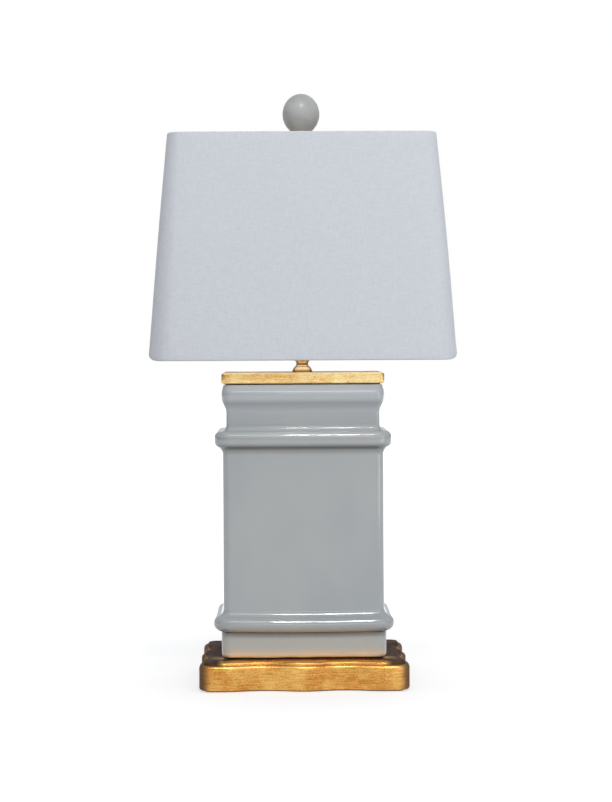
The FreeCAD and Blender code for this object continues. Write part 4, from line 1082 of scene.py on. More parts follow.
@dataclass
class Column:
    """The glazed porcelain body, its gaskets and the gilt plate on its top."""

    width: float = 170.4 * MM
    depth: float = 104 * MM
    corner: float = 8 * MM
    bottom: float = 32.2 * MM
    top: float = 320.5 * MM
    wall: float = 5 * MM
    floor: float = 7 * MM
    inner_corner: float = 6 * MM
    rod_hole: float = 5.65 * MM
    foot_out: float = 2.1 * MM
    foot_edge: float = 2.6 * MM
    low_bead_out: float = 10.5 * MM
    low_bead: float = 8 * MM
    low_bead_at: float = 68 * MM
    high_bead_out: float = 8.7 * MM
    high_bead: float = 6 * MM
    high_bead_flat: float = 5 * MM
    high_bead_at: float = 262.5 * MM
    foot_cove: float = 2 * MM
    low_cove: float = 8 * MM
    under_cove: float = 9 * MM
    over_cove: float = 6 * MM
    throat_cove: float = 12 * MM
    neck_in: float = 3.8 * MM
    lip_out: float = 1.05 * MM
    lip_curve: float = 26 * MM
    lip_below_top: float = 11 * MM
    lip_edge: float = 1.4 * MM
    cap_bottom: float = 321.5 * MM
    cap_top: float = 333 * MM
    cap_out: float = 1.1 * MM
    cap_corner: float = 4.5 * MM
    cap_edge: float = 2.4 * MM
    cap_inset: float = 12 * MM
    warp: float = 0.12 * MM
    sag: float = 1.2 * MM
    foot_wave: float = 0.9 * MM
    cap_warp: float = 0.18 * MM
    glaze_wear: tuple[float, ...] = (0.3, 0.9, 1.0, 1.0, 1.0, 1.0, 1.0, 0.8, 0.4)
    cap_wear: tuple[float, ...] = (0.2, 0.5, 0.7, 0.7, 0.5, 0.3, 0.2, 0.1, 0.1, 0.2, 0.3, 0.4, 0.3, 0.2, 0.1)
    plan: RoundedRectangle = RoundedRectangle(34, 20, 8)

    def build(self) -> None:
        """Builds the body and the cap and finishes the gaskets."""
        Part("column", "stand", "porcelain", Finish.GLAZE.material(), ("porcelain_body",)).make(self.body())
        Part("cap", "stand", "gilt_cap", Finish.CAP_LEAF.material(), ("cap_plate",)).make(self.cap())
        for node in ("foot_gasket", "cap_gasket"):
            finish_node(node, Finish.RUBBER.material())

    def cove(self, bead: Point, bead_radius: float, wall: float, radius: float,
             way: int) -> tuple[Point, Point, Point]:
        """Fits a hollow arc between a bead and an upright wall.

        Args:
            bead: The bead's middle.
            bead_radius: Its radius.
            wall: How far out the wall stands.
            radius: The hollow's radius.
            way: 1 for a hollow above the bead, -1 for one below it.

        Returns:
            The hollow's middle, its end on the wall and its end on the bead.
        """
        across = wall + radius - bead[0]
        reach = bead_radius + radius
        rise = way * math.sqrt(reach ** 2 - across ** 2)
        middle = (wall + radius, bead[1] + rise)
        on_bead = (bead[0] + across * bead_radius / reach, bead[1] + rise * bead_radius / reach)
        return middle, (wall, middle[1]), on_bead

    def outline(self) -> Profile:
        """Draws the outside from the foot to the top, as offsets from the plain section.

        Returns:
            The line, out from the plain section and up.
        """
        low = (self.low_bead_out - self.low_bead, self.low_bead_at)
        high_out = self.high_bead_out - self.high_bead
        high_low = (high_out, self.high_bead_at - self.high_bead_flat / 2)
        high_high = (high_out, self.high_bead_at + self.high_bead_flat / 2)
        lip = (self.lip_out - self.lip_curve, self.top - self.lip_below_top)
        lip_end = self.top - self.lip_edge
        lip_at_end = lip[0] + math.sqrt(self.lip_curve ** 2 - (lip_end - lip[1]) ** 2)
        below, below_wall, below_bead = self.cove(low, self.low_bead, self.foot_out, self.foot_cove, -1)
        above, above_wall, above_bead = self.cove(low, self.low_bead, 0, self.low_cove, 1)
        under, under_wall, under_bead = self.cove(high_low, self.high_bead, 0, self.under_cove, -1)
        over, over_wall, over_bead = self.cove(high_high, self.high_bead, -self.neck_in, self.over_cove, 1)
        throat, throat_wall, throat_lip = self.cove(lip, self.lip_curve, -self.neck_in, self.throat_cove, -1)
        edge = (self.foot_out - self.foot_edge, self.bottom + self.foot_edge)
        walk = Profile(edge[0], self.bottom)
        walk.arc(edge, self.foot_out, edge[1], 5)
        for rise in (1.2 * MM, 2.6 * MM, 4.4 * MM):
            walk.line(self.foot_out, edge[1] + rise)
        walk.line(below_wall[0], below_wall[1], 4)
        walk.arc(below, *below_bead, 5).arc(low, self.low_bead_out, low[1], 8).arc(low, *above_bead, 8)
        walk.arc(above, *above_wall, 8).line(*under_wall, 26)
        walk.arc(under, *under_bead, 7).arc(high_low, self.high_bead_out, high_low[1], 6)
        walk.line(self.high_bead_out, high_high[1], 2).arc(high_high, *over_bead, 7).arc(over, *over_wall, 7)
        walk.line(*throat_wall, 5).arc(throat, *throat_lip, 6).arc(lip, lip_at_end, lip_end, 5)
        walk.arc((lip_at_end - self.lip_edge, lip_end), lip_at_end - self.lip_edge, self.top, 4)
        return walk

    def section(self, out: float, up: float) -> list[Vector]:
        """Places the plan where the body stands this far out of its plain section."""
        return self.plan.ring(self.width + 2 * out, self.depth + 2 * out, self.corner + out, up)

    def body(self) -> bmesh.types.BMesh:
        """Draws the hollow body, a little uneven as a slip-cast one is.

        Returns:
            The body's mesh.
        """
        outside = self.outline().points
        rings = [self.section(out, up) for out, up in outside]
        turn_in = self.high_bead_at
        inside = [(-self.neck_in, self.top), (-self.neck_in, turn_in + self.high_bead),
                  (0.0, turn_in - self.high_bead), (0.0, self.bottom + self.floor + 3 * MM),
                  (-3 * MM, self.bottom + self.floor)]
        for out, up in inside:
            rings.append(self.plan.ring(self.width - 2 * self.wall + 2 * out, self.depth - 2 * self.wall + 2 * out,
                                        self.inner_corner + out, up))
        rings.append(circle_under(rings[0], self.rod_hole, self.bottom + self.floor))
        rings.append(circle_under(rings[0], self.rod_hole, self.bottom))
        bm = bmesh.new()
        loft(bm, rings, worn=wear_of(rings, self.glaze_wear))
        # painted shade under the beads and the lip
        tone(bm, self.grime)
        for vert in bm.verts:
            self.soften(vert)
        return bm

    def grime(self, place: Vector) -> float:
        """Says how much painted shade a point takes, under the beads and the lip most of all.

        Args:
            place: The point.

        Returns:
            From 0 to 1.
        """
        shaded_bands = ((self.low_bead_at - 8.8 * MM, 1.9 * MM, 1.0), (self.high_bead_at - 8.4 * MM, 2.3 * MM, 0.9),
                   (self.top - 20 * MM, 3.5 * MM, 0.35))
        return max(most * math.exp(-((place.z - up) / reach) ** 2) for up, reach, most in shaded_bands)

    def soften(self, vert: bmesh.types.BMVert) -> None:
        """Moves one point of the body as drying and firing leave it.

        Args:
            vert: The point.
        """
        place = vert.co.copy()
        above = min(1.0, max(0.0, (place.z - self.bottom - 3 * MM) / (12 * MM)))
        below = min(1.0, max(0.0, (self.top - 1 * MM - place.z) / (8 * MM)))
        push = noise.noise_vector(Vector((place.x / 0.14, place.y / 0.14, place.z / 0.07))) * self.warp
        vert.co += Vector((push.x, push.y, push.z)) * above * below
        bend = math.exp(-((place.z - self.low_bead_at) / (22 * MM)) ** 2)
        middle = max(0.0, 1 - (place.x / (82 * MM)) ** 2) if place.y < 0 else 0.0
        vert.co.z -= self.sag * bend * middle * above
        edge = Vector((place.x, place.y, 0)).length > 46 * MM and place.z < self.bottom + 3 * MM
        if edge and place.z < self.bottom + self.foot_edge:
            foot_plan = max(abs(place.x) - self.width / 2, abs(place.y) - self.depth / 2) + 1.2 * MM
            weight = min(1.0, max(0.0, foot_plan / (2 * MM)))
            vert.co.z += noise.noise(Vector((place.x, place.y, 0.3)) / 0.021) * self.foot_wave * weight

    def cap(self) -> bmesh.types.BMesh:
        """Draws the flat plate with its softly rounded edges.

        Returns:
            The plate's mesh.
        """
        edge = self.cap_edge
        out = self.cap_out
        walk = Profile(out - edge, self.cap_bottom)
        walk.arc((out - edge, self.cap_bottom + edge), out, self.cap_bottom + edge, 5)
        walk.line(out, self.cap_top - edge, 3)
        walk.arc((out - edge, self.cap_top - edge), out - edge, self.cap_top, 6)
        walk.line(out - self.cap_inset, self.cap_top)
        rings = []
        for offset, up in walk.points:
            radius = max(self.cap_corner - out + offset, 1.6 * MM)
            rings.append(self.plan.ring(self.width + 2 * offset, self.depth + 2 * offset, radius, up))
        rings.append(circle_under(rings[0], self.rod_hole, self.cap_top))
        rings.append(circle_under(rings[0], self.rod_hole, self.cap_bottom))
        bm = bmesh.new()
        loft(bm, rings, worn=wear_of(rings, self.cap_wear, 0.1))
        uneven(bm, self.cap_warp, 30 * MM, 7.0)
        return bm


@dataclass
class Neck:
    """The brass mouldings on the cap, the threaded rod and the harp's saddle."""

    bore: float = 5.3 * MM
    bottom: float = 333 * MM
    waist_up: float = 8.5 * MM
    waist: float = 6.3 * MM
    top: float = 353 * MM
    flange: float = 10.85 * MM
    collar: float = 8.35 * MM
    cup: float = 12 * MM
    locknut: HexagonNut = HexagonNut(14 * MM, 354.8 * MM, 357.8 * MM)

    def build(self) -> None:
        """Builds the neck and finishes what stands in it."""
        bottom, waist = self.bottom, self.bottom + self.waist_up
        foot = Profile(self.bore, bottom).line(self.flange - 0.35 * MM, bottom).line(self.flange, bottom + 0.35 * MM)
        foot.line(self.flange, bottom + 1.6 * MM).line(self.flange - 0.4 * MM, bottom + 2.1 * MM)
        foot.arc((4.2 * MM, bottom + 0.6 * MM), self.collar, bottom + 5.5 * MM, 8)
        foot.line(self.collar - 0.1 * MM, bottom + 5.95 * MM).line(self.collar - 0.8 * MM, bottom + 6.05 * MM)
        foot.arc((10.9 * MM, waist + 0.1 * MM), self.waist, waist - 0.35 * MM, 8)
        foot.line(self.waist - 0.3 * MM, waist).line(self.bore, waist)
        self.turn("neck_foot", foot, ("neck_ring",))
        cup = Profile(self.bore, waist).line(self.waist - 0.3 * MM, waist).line(self.waist, waist + 0.35 * MM)
        cup.arc((12.75 * MM, waist - 0.7 * MM), 11.5 * MM, waist + 5.6 * MM, 12)
        cup.line(self.cup - 0.1 * MM, waist + 6.1 * MM).line(self.cup, waist + 6.5 * MM)
        cup.line(self.cup, self.top - 0.4 * MM).line(self.cup - 0.4 * MM, self.top).line(self.bore, self.top)
        self.turn("neck_cup_turned", cup, ("neck_cup",))
        finish_node("threaded_rod", Finish.ROD.material())
        finish_node("harp_saddle", Finish.BRASS.material())
        Part("saddle_nut", "stand", "steel", Finish.STEEL.material(), ("saddle_locknut",)).make(self.locknut.draw())

    def turn(self, name: str, profile: Profile, nodes: tuple[str, ...]) -> None:
        """Turns one moulding.

        Args:
            name: The new piece's name.
            profile: Its line.
            nodes: What it stands for in the frame.
        """
        bm = bmesh.new()
        turned(bm, profile.points)
        # painted shade in the grooves and at the waist
        grooves = ((self.bottom, 0.8 * MM), (self.bottom + 2 * MM, 0.5 * MM), (self.bottom + 5.95 * MM, 0.4 * MM),
                   (self.bottom + self.waist_up, 1 * MM))
        tone(bm, lambda place: max(math.exp(-((place.z - up) / reach) ** 2) for up, reach in grooves))
        Part(name, "stand", "neck_brass", Finish.NECK_BRASS.material(), nodes, TURNED_SHARP_PAST).make(bm)


@dataclass
class Lampholder:
    """The brass lampholder with its card liner, screw shell, contact and turn key."""

    bottom: float = 357.8 * MM
    bore: float = 5.3 * MM
    hub: float = 8 * MM
    hub_top: float = 364.8 * MM
    cap: float = 17.5 * MM
    cap_top: float = 376.8 * MM
    shell: float = 16.2 * MM
    shell_bottom: float = 372.8 * MM
    shell_top: float = 413.8 * MM
    sheet: float = 0.8 * MM
    screw: float = 13.3 * MM
    screw_mouth: float = 8 * MM
    screw_sheet: float = 0.5 * MM
    screw_bottom: float = 390.6 * MM
    screw_top: float = 411.8 * MM
    pitch: float = 3.63 * MM
    shaft_hole: float = 2.3 * MM
    key_height: float = 381.1 * MM
    key_out: float = 20.5 * MM
    key_size: Point = (17 * MM, 13 * MM)
    key_corner: float = 6.4 * MM
    key_half: float = 2 * MM
    key_edge: float = 1.3 * MM
    key_face: float = 4.4 * MM
    key_dish: float = 0.35 * MM
    collar: float = 3.6 * MM
    collar_length: float = 5 * MM
    collar_out: float = 12.5 * MM

    def build(self) -> None:
        """Builds the lampholder's pieces and finishes the rest."""
        self.build_cap()
        self.build_shell()
        self.build_screw_shell()
        self.build_key()
        finish_node("socket_liner", Finish.CARD.material())
        finish_node("socket_body", Finish.PHENOLIC.material())
        finish_node("terminal_screws", Finish.STEEL.material())
        finish_node("centre_contact", Finish.CONTACT.material())
        finish_node("key_shaft", Finish.STEEL.material())

    def build_cap(self) -> None:
        """Turns the lower cup with its hub and rolled rim."""
        bowl = self.cap - self.hub
        outer = (self.hub, self.hub_top - self.sheet + bowl)
        walk = Profile(self.bore, self.bottom).line(self.hub - 0.4 * MM, self.bottom)
        walk.line(self.hub, self.bottom + 0.4 * MM).line(self.hub, self.hub_top - self.sheet - 0.6 * MM)
        walk.line(self.hub + 0.5 * MM, self.hub_top - self.sheet)
        walk.arc(outer, self.cap, outer[1], 12)
        self.roll_rim(walk.line(self.cap, self.cap_top - 0.5 * MM), self.cap, self.cap_top)
        walk.line(self.cap - self.sheet, outer[1])
        walk.arc(outer, self.hub, self.hub_top, 12).line(self.bore, self.hub_top)
        bm = bmesh.new()
        turned(bm, walk.points)
        Part("lampholder_cup", "stand", "socket_brass", Finish.SOCKET_BRASS.material(), ("socket_cap",)).make(bm)

    def roll_rim(self, walk: Profile, out: float, top: float) -> None:
        """Rolls the sheet's upper edge over to its inner face."""
        middle = (out - self.sheet / 2, top - self.sheet / 2)
        walk.arc(middle, middle[0], top, 3).arc(middle, out - self.sheet, middle[1], 3)

    def build_shell(self) -> None:
        """Turns the outer shell with its two raised beads and drills it for the key."""
        walk = Profile(self.shell - self.sheet, self.shell_bottom).line(self.shell, self.shell_bottom)
        for height in (self.cap_top + 1.4 * MM, self.shell_top - 6 * MM):
            walk.line(self.shell, height - 1 * MM)
            walk.arc((self.shell - 0.25 * MM, height), self.shell, height + 1 * MM, 6)
        self.roll_rim(walk.line(self.shell, self.shell_top - self.sheet / 2), self.shell, self.shell_top)
        bm = bmesh.new()
        turned(bm, walk.points)
        made = Part("lampholder_shell", "stand", "socket_brass", Finish.SOCKET_BRASS.material(),
                    ("socket_shell",)).make(bm)
        tool = bmesh.new()
        turn = Matrix.Translation((0, -self.shell, self.key_height)) @ Matrix.Rotation(TURN / 4, 4, "X")
        bmesh.ops.create_cone(tool, cap_ends=True, segments=32, radius1=self.shaft_hole, radius2=self.shaft_hole,
                              depth=8 * MM, matrix=turn)
        cut_away(made, tool)

    def build_screw_shell(self) -> None:
        """Turns the screw shell and rolls its thread."""
        bottom, inner_bottom = self.screw_bottom, self.screw_bottom + self.screw_sheet
        outer = self.screw + self.screw_sheet
        walk = Profile(self.screw_mouth, bottom).line(outer, bottom).line(outer, self.screw_top, 64)
        walk.line(self.screw, self.screw_top).line(self.screw, inner_bottom, 64).line(self.screw_mouth, inner_bottom)
        bm = bmesh.new()
        turned(bm, walk.points, steps=64)
        screw_thread(bm, self.pitch, -self.screw_sheet, bottom + 2.2 * MM, self.screw_top - 1.2 * MM)
        Part("screw_thread_shell", "stand", "contact_metal", Finish.CONTACT.material(), ("screw_shell",),
             THREAD_SHARP_PAST).make(bm)

    def build_key(self) -> None:
        """Builds the flat oval key with a dished face and its collar."""
        bm = bmesh.new()
        plan = RoundedRectangle(4, 2, 10)
        half, edge, face = self.key_half, self.key_edge, self.key_face
        width, height = self.key_size
        walk = rounded([(face, -half, 0), (0, -half, edge), (0, half, edge), (face, half, 0)])
        rings = [plan.ring(width - 2 * inset, height - 2 * inset, self.key_corner - inset, up) for inset, up in walk]
        for way, ring in ((-1, rings[0]), (1, rings[-1])):
            for place in ring:
                place.z = way * (half - self.key_dish)
        loft(bm, rings, closed=False)
        bmesh.ops.holes_fill(bm, edges=bm.edges, sides=0)
        bmesh.ops.translate(bm, verts=bm.verts, vec=(0, -self.shell - self.key_out, self.key_height))
        middle = Matrix.Translation((0, -self.shell - self.collar_out, self.key_height))
        made = bmesh.ops.create_cone(bm, cap_ends=True, segments=32, radius1=self.collar, radius2=self.collar,
                                     depth=self.collar_length, matrix=middle @ Matrix.Rotation(TURN / 4, 4, "X"))
        edges = [edge for edge in edges_of(made["verts"])
                 if len(edge.link_faces) == 2 and edge.calc_face_angle(0) > 1]
        bmesh.ops.bevel(bm, geom=edges, offset=0.4 * MM, segments=2, affect="EDGES", profile=0.5, material=-1)
        Part("turn_key", "switch_key", "phenolic", Finish.PHENOLIC.material(), ("key_knob",)).make(bm)


@dataclass
class Harp:
    """The wire harp with its crown, its two ferrules and the swivel that carries the shade."""

    foot: float = 29 * MM
    start: float = 361.15 * MM
    wire: float = 1.8 * MM
    straight: float = 40 * MM
    flare: float = 60 * MM
    reach: float = 54 * MM
    top_radius: float = 44 * MM
    wire_top: float = 563.7 * MM
    crown_top: float = 570 * MM
    crown_size: Point = (20 * MM, 11 * MM)
    crown_corner: float = 5.4 * MM
    crown_edge: float = 1.5 * MM
    crown_hole: float = 2.56 * MM
    crown_hole_deep: float = 3.45 * MM
    ferrule: float = 4.2 * MM
    ferrule_wide: float = 3.2 * MM
    ferrule_narrow: float = 2.1 * MM
    ferrule_bottom: float = 354.95 * MM
    ferrule_step: float = 369.15 * MM
    ferrule_top: float = 372.15 * MM
    shoulder: float = 570.15 * MM
    shoulder_high: float = 2.4 * MM
    shoulder_wide: float = 8 * MM
    shank: float = 2.5 * MM
    shank_long: float = 3.3 * MM
    stud: float = 3.1 * MM
    stud_long: float = 15 * MM

    def build(self) -> None:
        """Builds the wire, crown, ferrules and swivel."""
        self.build_wire()
        self.build_crown()
        for side, node in ((-1, "ferrule_left"), (1, "ferrule_right")):
            self.build_ferrule(side, node)
        self.build_swivel()

    def build_wire(self) -> None:
        """Draws the wire from one foot over the top to the other."""
        bm = bmesh.new()
        rise = self.reach - self.foot
        angle = 2 * math.atan2(rise, self.flare)
        radius = self.flare / 2 / math.sin(angle)
        left, right, up, down = Vector((-1, 0, 0)), Vector((1, 0, 0)), Vector((0, 0, 1)), Vector((0, 0, -1))
        upright = self.wire_top - self.top_radius - self.start - self.straight - self.flare
        wire = Wire(bm, Vector((-self.foot, 0, self.start)), up, self.wire)
        wire.run(self.straight).bend(left, radius, angle)
        wire.bend(self.square_to(wire.heading, right), radius, angle)
        wire.run(upright).bend(right, self.top_radius, TURN / 4, 20)
        wire.run(2 * (self.reach - self.top_radius)).bend(down, self.top_radius, TURN / 4, 20)
        wire.run(upright).bend(left, radius, angle)
        wire.bend(self.square_to(wire.heading, right), radius, angle).run(self.straight).close()
        Part("harp_wire", "harp", "harp_brass", Finish.BRASS.material(), ("harp_bow",)).make(bm)

    def square_to(self, heading: Vector, toward: Vector) -> Vector:
        """Gives the side square to a heading that looks most toward a direction."""
        return (toward - heading * toward.dot(heading)).normalized()

    def build_crown(self) -> None:
        """Lofts the small block on the top of the wire, with the swivel's hole."""
        plan = RoundedRectangle(6, 2, 10)
        bottom = self.wire_top - 4 * MM
        hole, hole_bottom = self.crown_hole, self.crown_top - self.crown_hole_deep
        edge, (width, depth) = self.crown_edge, self.crown_size
        walk = Profile(edge, bottom).arc((edge, bottom + edge), 0, bottom + edge, 4)
        walk.line(0, self.crown_top - edge).arc((edge, self.crown_top - edge), edge, self.crown_top, 4)
        rings = [plan.ring(width - 2 * inset, depth - 2 * inset, self.crown_corner - inset, up)
                 for inset, up in walk.points]
        rings = [circle_under(rings[0], 0, bottom)] + rings
        rings.append(circle_under(rings[1], hole, self.crown_top))
        rings.append(circle_under(rings[1], hole, hole_bottom))
        rings.append(circle_under(rings[1], 0, hole_bottom))
        bm = bmesh.new()
        loft(bm, rings, closed=False)
        Part("harp_top_block", "harp", "harp_brass", Finish.BRASS.material(), ("harp_crown",)).make(bm)

    def build_ferrule(self, side: int, node: str) -> None:
        """Turns a sleeve that slides over the harp's foot.

        Args:
            side: -1 for the left foot, 1 for the right.
            node: The frame's piece and body.
        """
        bottom, top, step = self.ferrule_bottom, self.ferrule_top, self.ferrule_step
        outer, wide, narrow = self.ferrule, self.ferrule_wide, self.ferrule_narrow
        walk = Profile(wide, bottom).line(outer - 0.3 * MM, bottom).line(outer, bottom + 0.3 * MM)
        for height in (bottom + 2 * MM, bottom + 3.4 * MM, top - 5 * MM):
            walk.line(outer, height).line(outer - 0.3 * MM, height + 0.3 * MM).line(outer, height + 0.6 * MM)
        walk.line(outer, top - 1.4 * MM).arc((outer - 1.4 * MM, top - 1.4 * MM), outer - 1.4 * MM, top, 5)
        walk.line(narrow, top).line(narrow, step).line(wide, step)
        bm = bmesh.new()
        turned(bm, walk.points, steps=48)
        bmesh.ops.translate(bm, verts=bm.verts, vec=(side * self.foot, 0, 0))
        Part(node + "_sleeve", node, "harp_brass", Finish.BRASS.material(), (node,)).make(bm)

    def build_swivel(self) -> None:
        """Turns the swivel's shank, shoulder and threaded stud."""
        low, high = self.shoulder, self.shoulder + self.shoulder_high
        top, end = high + self.stud_long, low - self.shank_long
        wide, shank, stud = self.shoulder_wide, self.shank, self.stud
        walk = Profile(0, end).line(shank - 0.3 * MM, end).line(shank, end + 0.3 * MM).line(shank, low)
        walk.line(wide - 0.4 * MM, low).line(wide, low + 0.4 * MM).line(wide, high - 0.5 * MM)
        walk.line(wide - 0.5 * MM, high).line(stud, high).line(stud, top - 0.5 * MM, 50)
        walk.line(stud - 0.5 * MM, top).line(0, top)
        bm = bmesh.new()
        turned(bm, walk.points, closed=False, steps=40)
        screw_thread(bm, 0.94 * MM, 0.3 * MM, high + 0.6 * MM, top - 0.1 * MM)
        Part("swivel_turned", "swivel", "harp_brass", Finish.BRASS.material(), ("swivel_stud",),
             THREAD_SHARP_PAST).make(bm)


@dataclass
class Shade:
    """The tapering cloth shade on its lining, two rim wires and a drop spider."""

    bottom: float = 346.6 * MM
    top: float = 584.3 * MM
    bottom_width: float = 322.4 * MM
    bottom_depth: float = 222 * MM
    bottom_corner: float = 24 * MM
    top_width: float = 281.8 * MM
    top_depth: float = 182 * MM
    top_corner: float = 14 * MM
    cloth: float = 0.45 * MM
    rim: float = 1.7 * MM
    ring_wire: float = 1.2 * MM
    hem: float = 10 * MM
    lining_outer: float = 0.62 * MM
    lining_inner: float = 1.08 * MM
    lining_end: float = 3.4 * MM
    kick: float = 6.5 * MM
    round: float = 10.5 * MM
    pinch: float = 3 * MM
    bow: float = 0.9 * MM
    drift: float = 0.35 * MM
    arm: float = 1.4 * MM
    arm_level: float = 574.4 * MM
    arm_from: float = 10.6 * MM
    arm_drop: float = 8.2 * MM
    arm_drop_run: float = 14 * MM
    hub: float = 12 * MM
    hub_hole: float = 3.4 * MM
    hub_bottom: float = 572.7 * MM
    hub_top: float = 576.1 * MM
    hub_edge: float = 0.5 * MM
    plan: RoundedRectangle = RoundedRectangle(64, 44, 20)

    def build(self) -> None:
        """Builds the cloth, the lining, the wires and the spider."""
        self.build_cloth()
        self.build_lining()
        for name, node, middle in (("shade_top_wire", "shade_top_ring", self.top - self.rim),
                                   ("shade_bottom_wire", "shade_bottom_ring", self.bottom + self.rim)):
            bm = bmesh.new()
            around = [(math.cos(TURN * step / 12), math.sin(TURN * step / 12)) for step in range(12)]
            loft(bm, [self.ring(self.rim - self.ring_wire * out, middle + self.ring_wire * up) for out, up in around])
            Part(name, "shade", "white_wire", Finish.ENAMEL.material(), (node,)).make(bm)
        self.build_spider()

    def ring(self, inside: float, up: float) -> list[Vector]:
        """Places the shade's plan at a height, set in by some thickness, with its warp.

        Args:
            inside: How far inside the cloth's face it lies.
            up: Its height.

        Returns:
            The places, from the middle of the rear.
        """
        share = (up - self.bottom) / (self.top - self.bottom)
        width = self.bottom_width + (self.top_width - self.bottom_width) * share
        depth = self.bottom_depth + (self.top_depth - self.bottom_depth) * share
        corner = self.bottom_corner + (self.top_corner - self.bottom_corner) * share
        plain = from_middle_of_rear(self.plan.ring(width - 2 * inside, depth - 2 * inside, corner - inside, up))
        return [self.warped(place, share) for place in plain]

    def warped(self, place: Vector, share: float) -> Vector:
        """Moves one point as the stretched cloth and its wires sit.

        Args:
            place: Where the point would be on a perfect shade.
            share: Its height as a share of the shade's, from the bottom.

        Returns:
            Where it is.
        """
        half = self.bottom_depth / 2
        ahead = abs(place.y) - (half - self.bottom_corner)
        turn = (abs(place.x) - self.bottom_width / 2 + self.round) / self.round
        rise = 1 - math.sqrt(1 - min(1.0, max(0.0, turn)) ** 2)
        fall = 1 - eased(-ahead, 0.0, 67 * MM)
        lift = self.kick * rise * fall * max(0.0, 1 - share / 0.4) ** 2
        bow = math.sin(math.pi * min(1.0, max(0.0, share))) * self.bow
        x, y = place.x / (self.bottom_width / 2), place.y / half
        side = Vector((x * (bow - self.pinch * abs(y) ** 5), y * (bow - self.pinch * abs(x) ** 5), 0))
        drift = noise.noise_vector(Vector((place.x, place.y, place.z * 0.6)) / 0.11) * self.drift
        hold = min(1.0, max(0.0, share) * 8, max(0.0, 1 - share) * 8)
        return place + Vector((0, 0, lift)) + side + Vector((drift.x, drift.y, 0)) * hold

    def build_cloth(self) -> None:
        """Lofts the cloth, turned in over both wires and down behind the lining."""
        rim, thin = self.rim, self.cloth
        low, high = self.bottom + rim, self.top - rim
        inside = rim - thin
        walk = Profile(0, low).line(0, high, 30)
        walk.arc((rim, high), rim, self.top, 5).arc((rim, high), 2 * rim, high, 5)
        walk.line(1.65 * MM, high - 4 * MM, 3).line(1.62 * MM, self.top - self.hem)
        walk.line(1.16 * MM, self.top - self.hem - 0.1 * MM).line(1.14 * MM, high - 4 * MM)
        walk.line(2 * rim - thin, high, 3)
        walk.arc((rim, high), rim, high + inside, 4).arc((rim, high), thin, high, 4)
        walk.line(thin, low, 30)
        walk.arc((rim, low), rim, low - inside, 4).arc((rim, low), 2 * rim - thin, low, 4)
        walk.line(1.14 * MM, low + 4 * MM, 3).line(1.16 * MM, self.bottom + self.hem + 0.1 * MM)
        walk.line(1.62 * MM, self.bottom + self.hem).line(1.65 * MM, low + 4 * MM)
        walk.line(2 * rim, low, 3)
        walk.arc((rim, low), rim, self.bottom, 5).arc((rim, low), 0, low, 5)
        bm = bmesh.new()
        loft(bm, [self.ring(inset, up) for inset, up in walk.points[:-1]])
        made = Part("shade_cloth", "shade", "shade_cloth", Finish.CLOTH.material(),
                    ("shade_fabric", "top_binding", "bottom_binding")).make(bm)

    def build_lining(self) -> None:
        """Lofts the stiff lining just behind the cloth."""
        low, high = self.bottom + self.lining_end, self.top - self.lining_end
        outer, inner = self.lining_outer, self.lining_inner
        heights = [low + (high - low) * step / 24 for step in range(25)]
        bm = bmesh.new()
        loft(bm, [self.ring(outer, up) for up in heights] + [self.ring(inner, up) for up in heights[::-1]])
        Part("lining", "shade", "shade_lining", Finish.LINING.material(), ("shade_liner",)).make(bm)

    def build_spider(self) -> None:
        """Draws the four arms with their drop and turns the ring in their middle."""
        bm = bmesh.new()
        angle = 2 * math.atan2(self.arm_drop, self.arm_drop_run)
        radius = self.arm_drop_run / 2 / math.sin(angle)
        up = Vector((0, 0, 1))
        for quarter, reach in enumerate((self.top_width, self.top_depth, self.top_width, self.top_depth)):
            heading = Matrix.Rotation(TURN / 4 * quarter, 3, "Z") @ Vector((1, 0, 0))
            wire = Wire(bm, heading * self.arm_from + up * self.arm_level, heading, self.arm, 14)
            wire.run(reach / 2 - self.rim - self.arm_drop_run - self.arm_from).bend(up, radius, angle, 8)
            side = (heading - wire.heading * heading.dot(wire.heading)).normalized()
            wire.bend(side, radius, angle, 8).close()
        Part("spider_wires", "shade", "white_wire", Finish.ENAMEL.material(), ("spider_arms",)).make(bm)
        hub = bmesh.new()
        low, high, edge = self.hub_bottom, self.hub_top, self.hub_edge
        walk = Profile(self.hub_hole, low).line(self.hub - edge, low).line(self.hub, low + edge)
        walk.line(self.hub, high - edge).line(self.hub - edge, high).line(self.hub_hole, high)
        turned(hub, walk.points, steps=64)
        Part("spider_ring", "shade", "white_wire", Finish.ENAMEL.material(), ("spider_hub",)).make(hub)


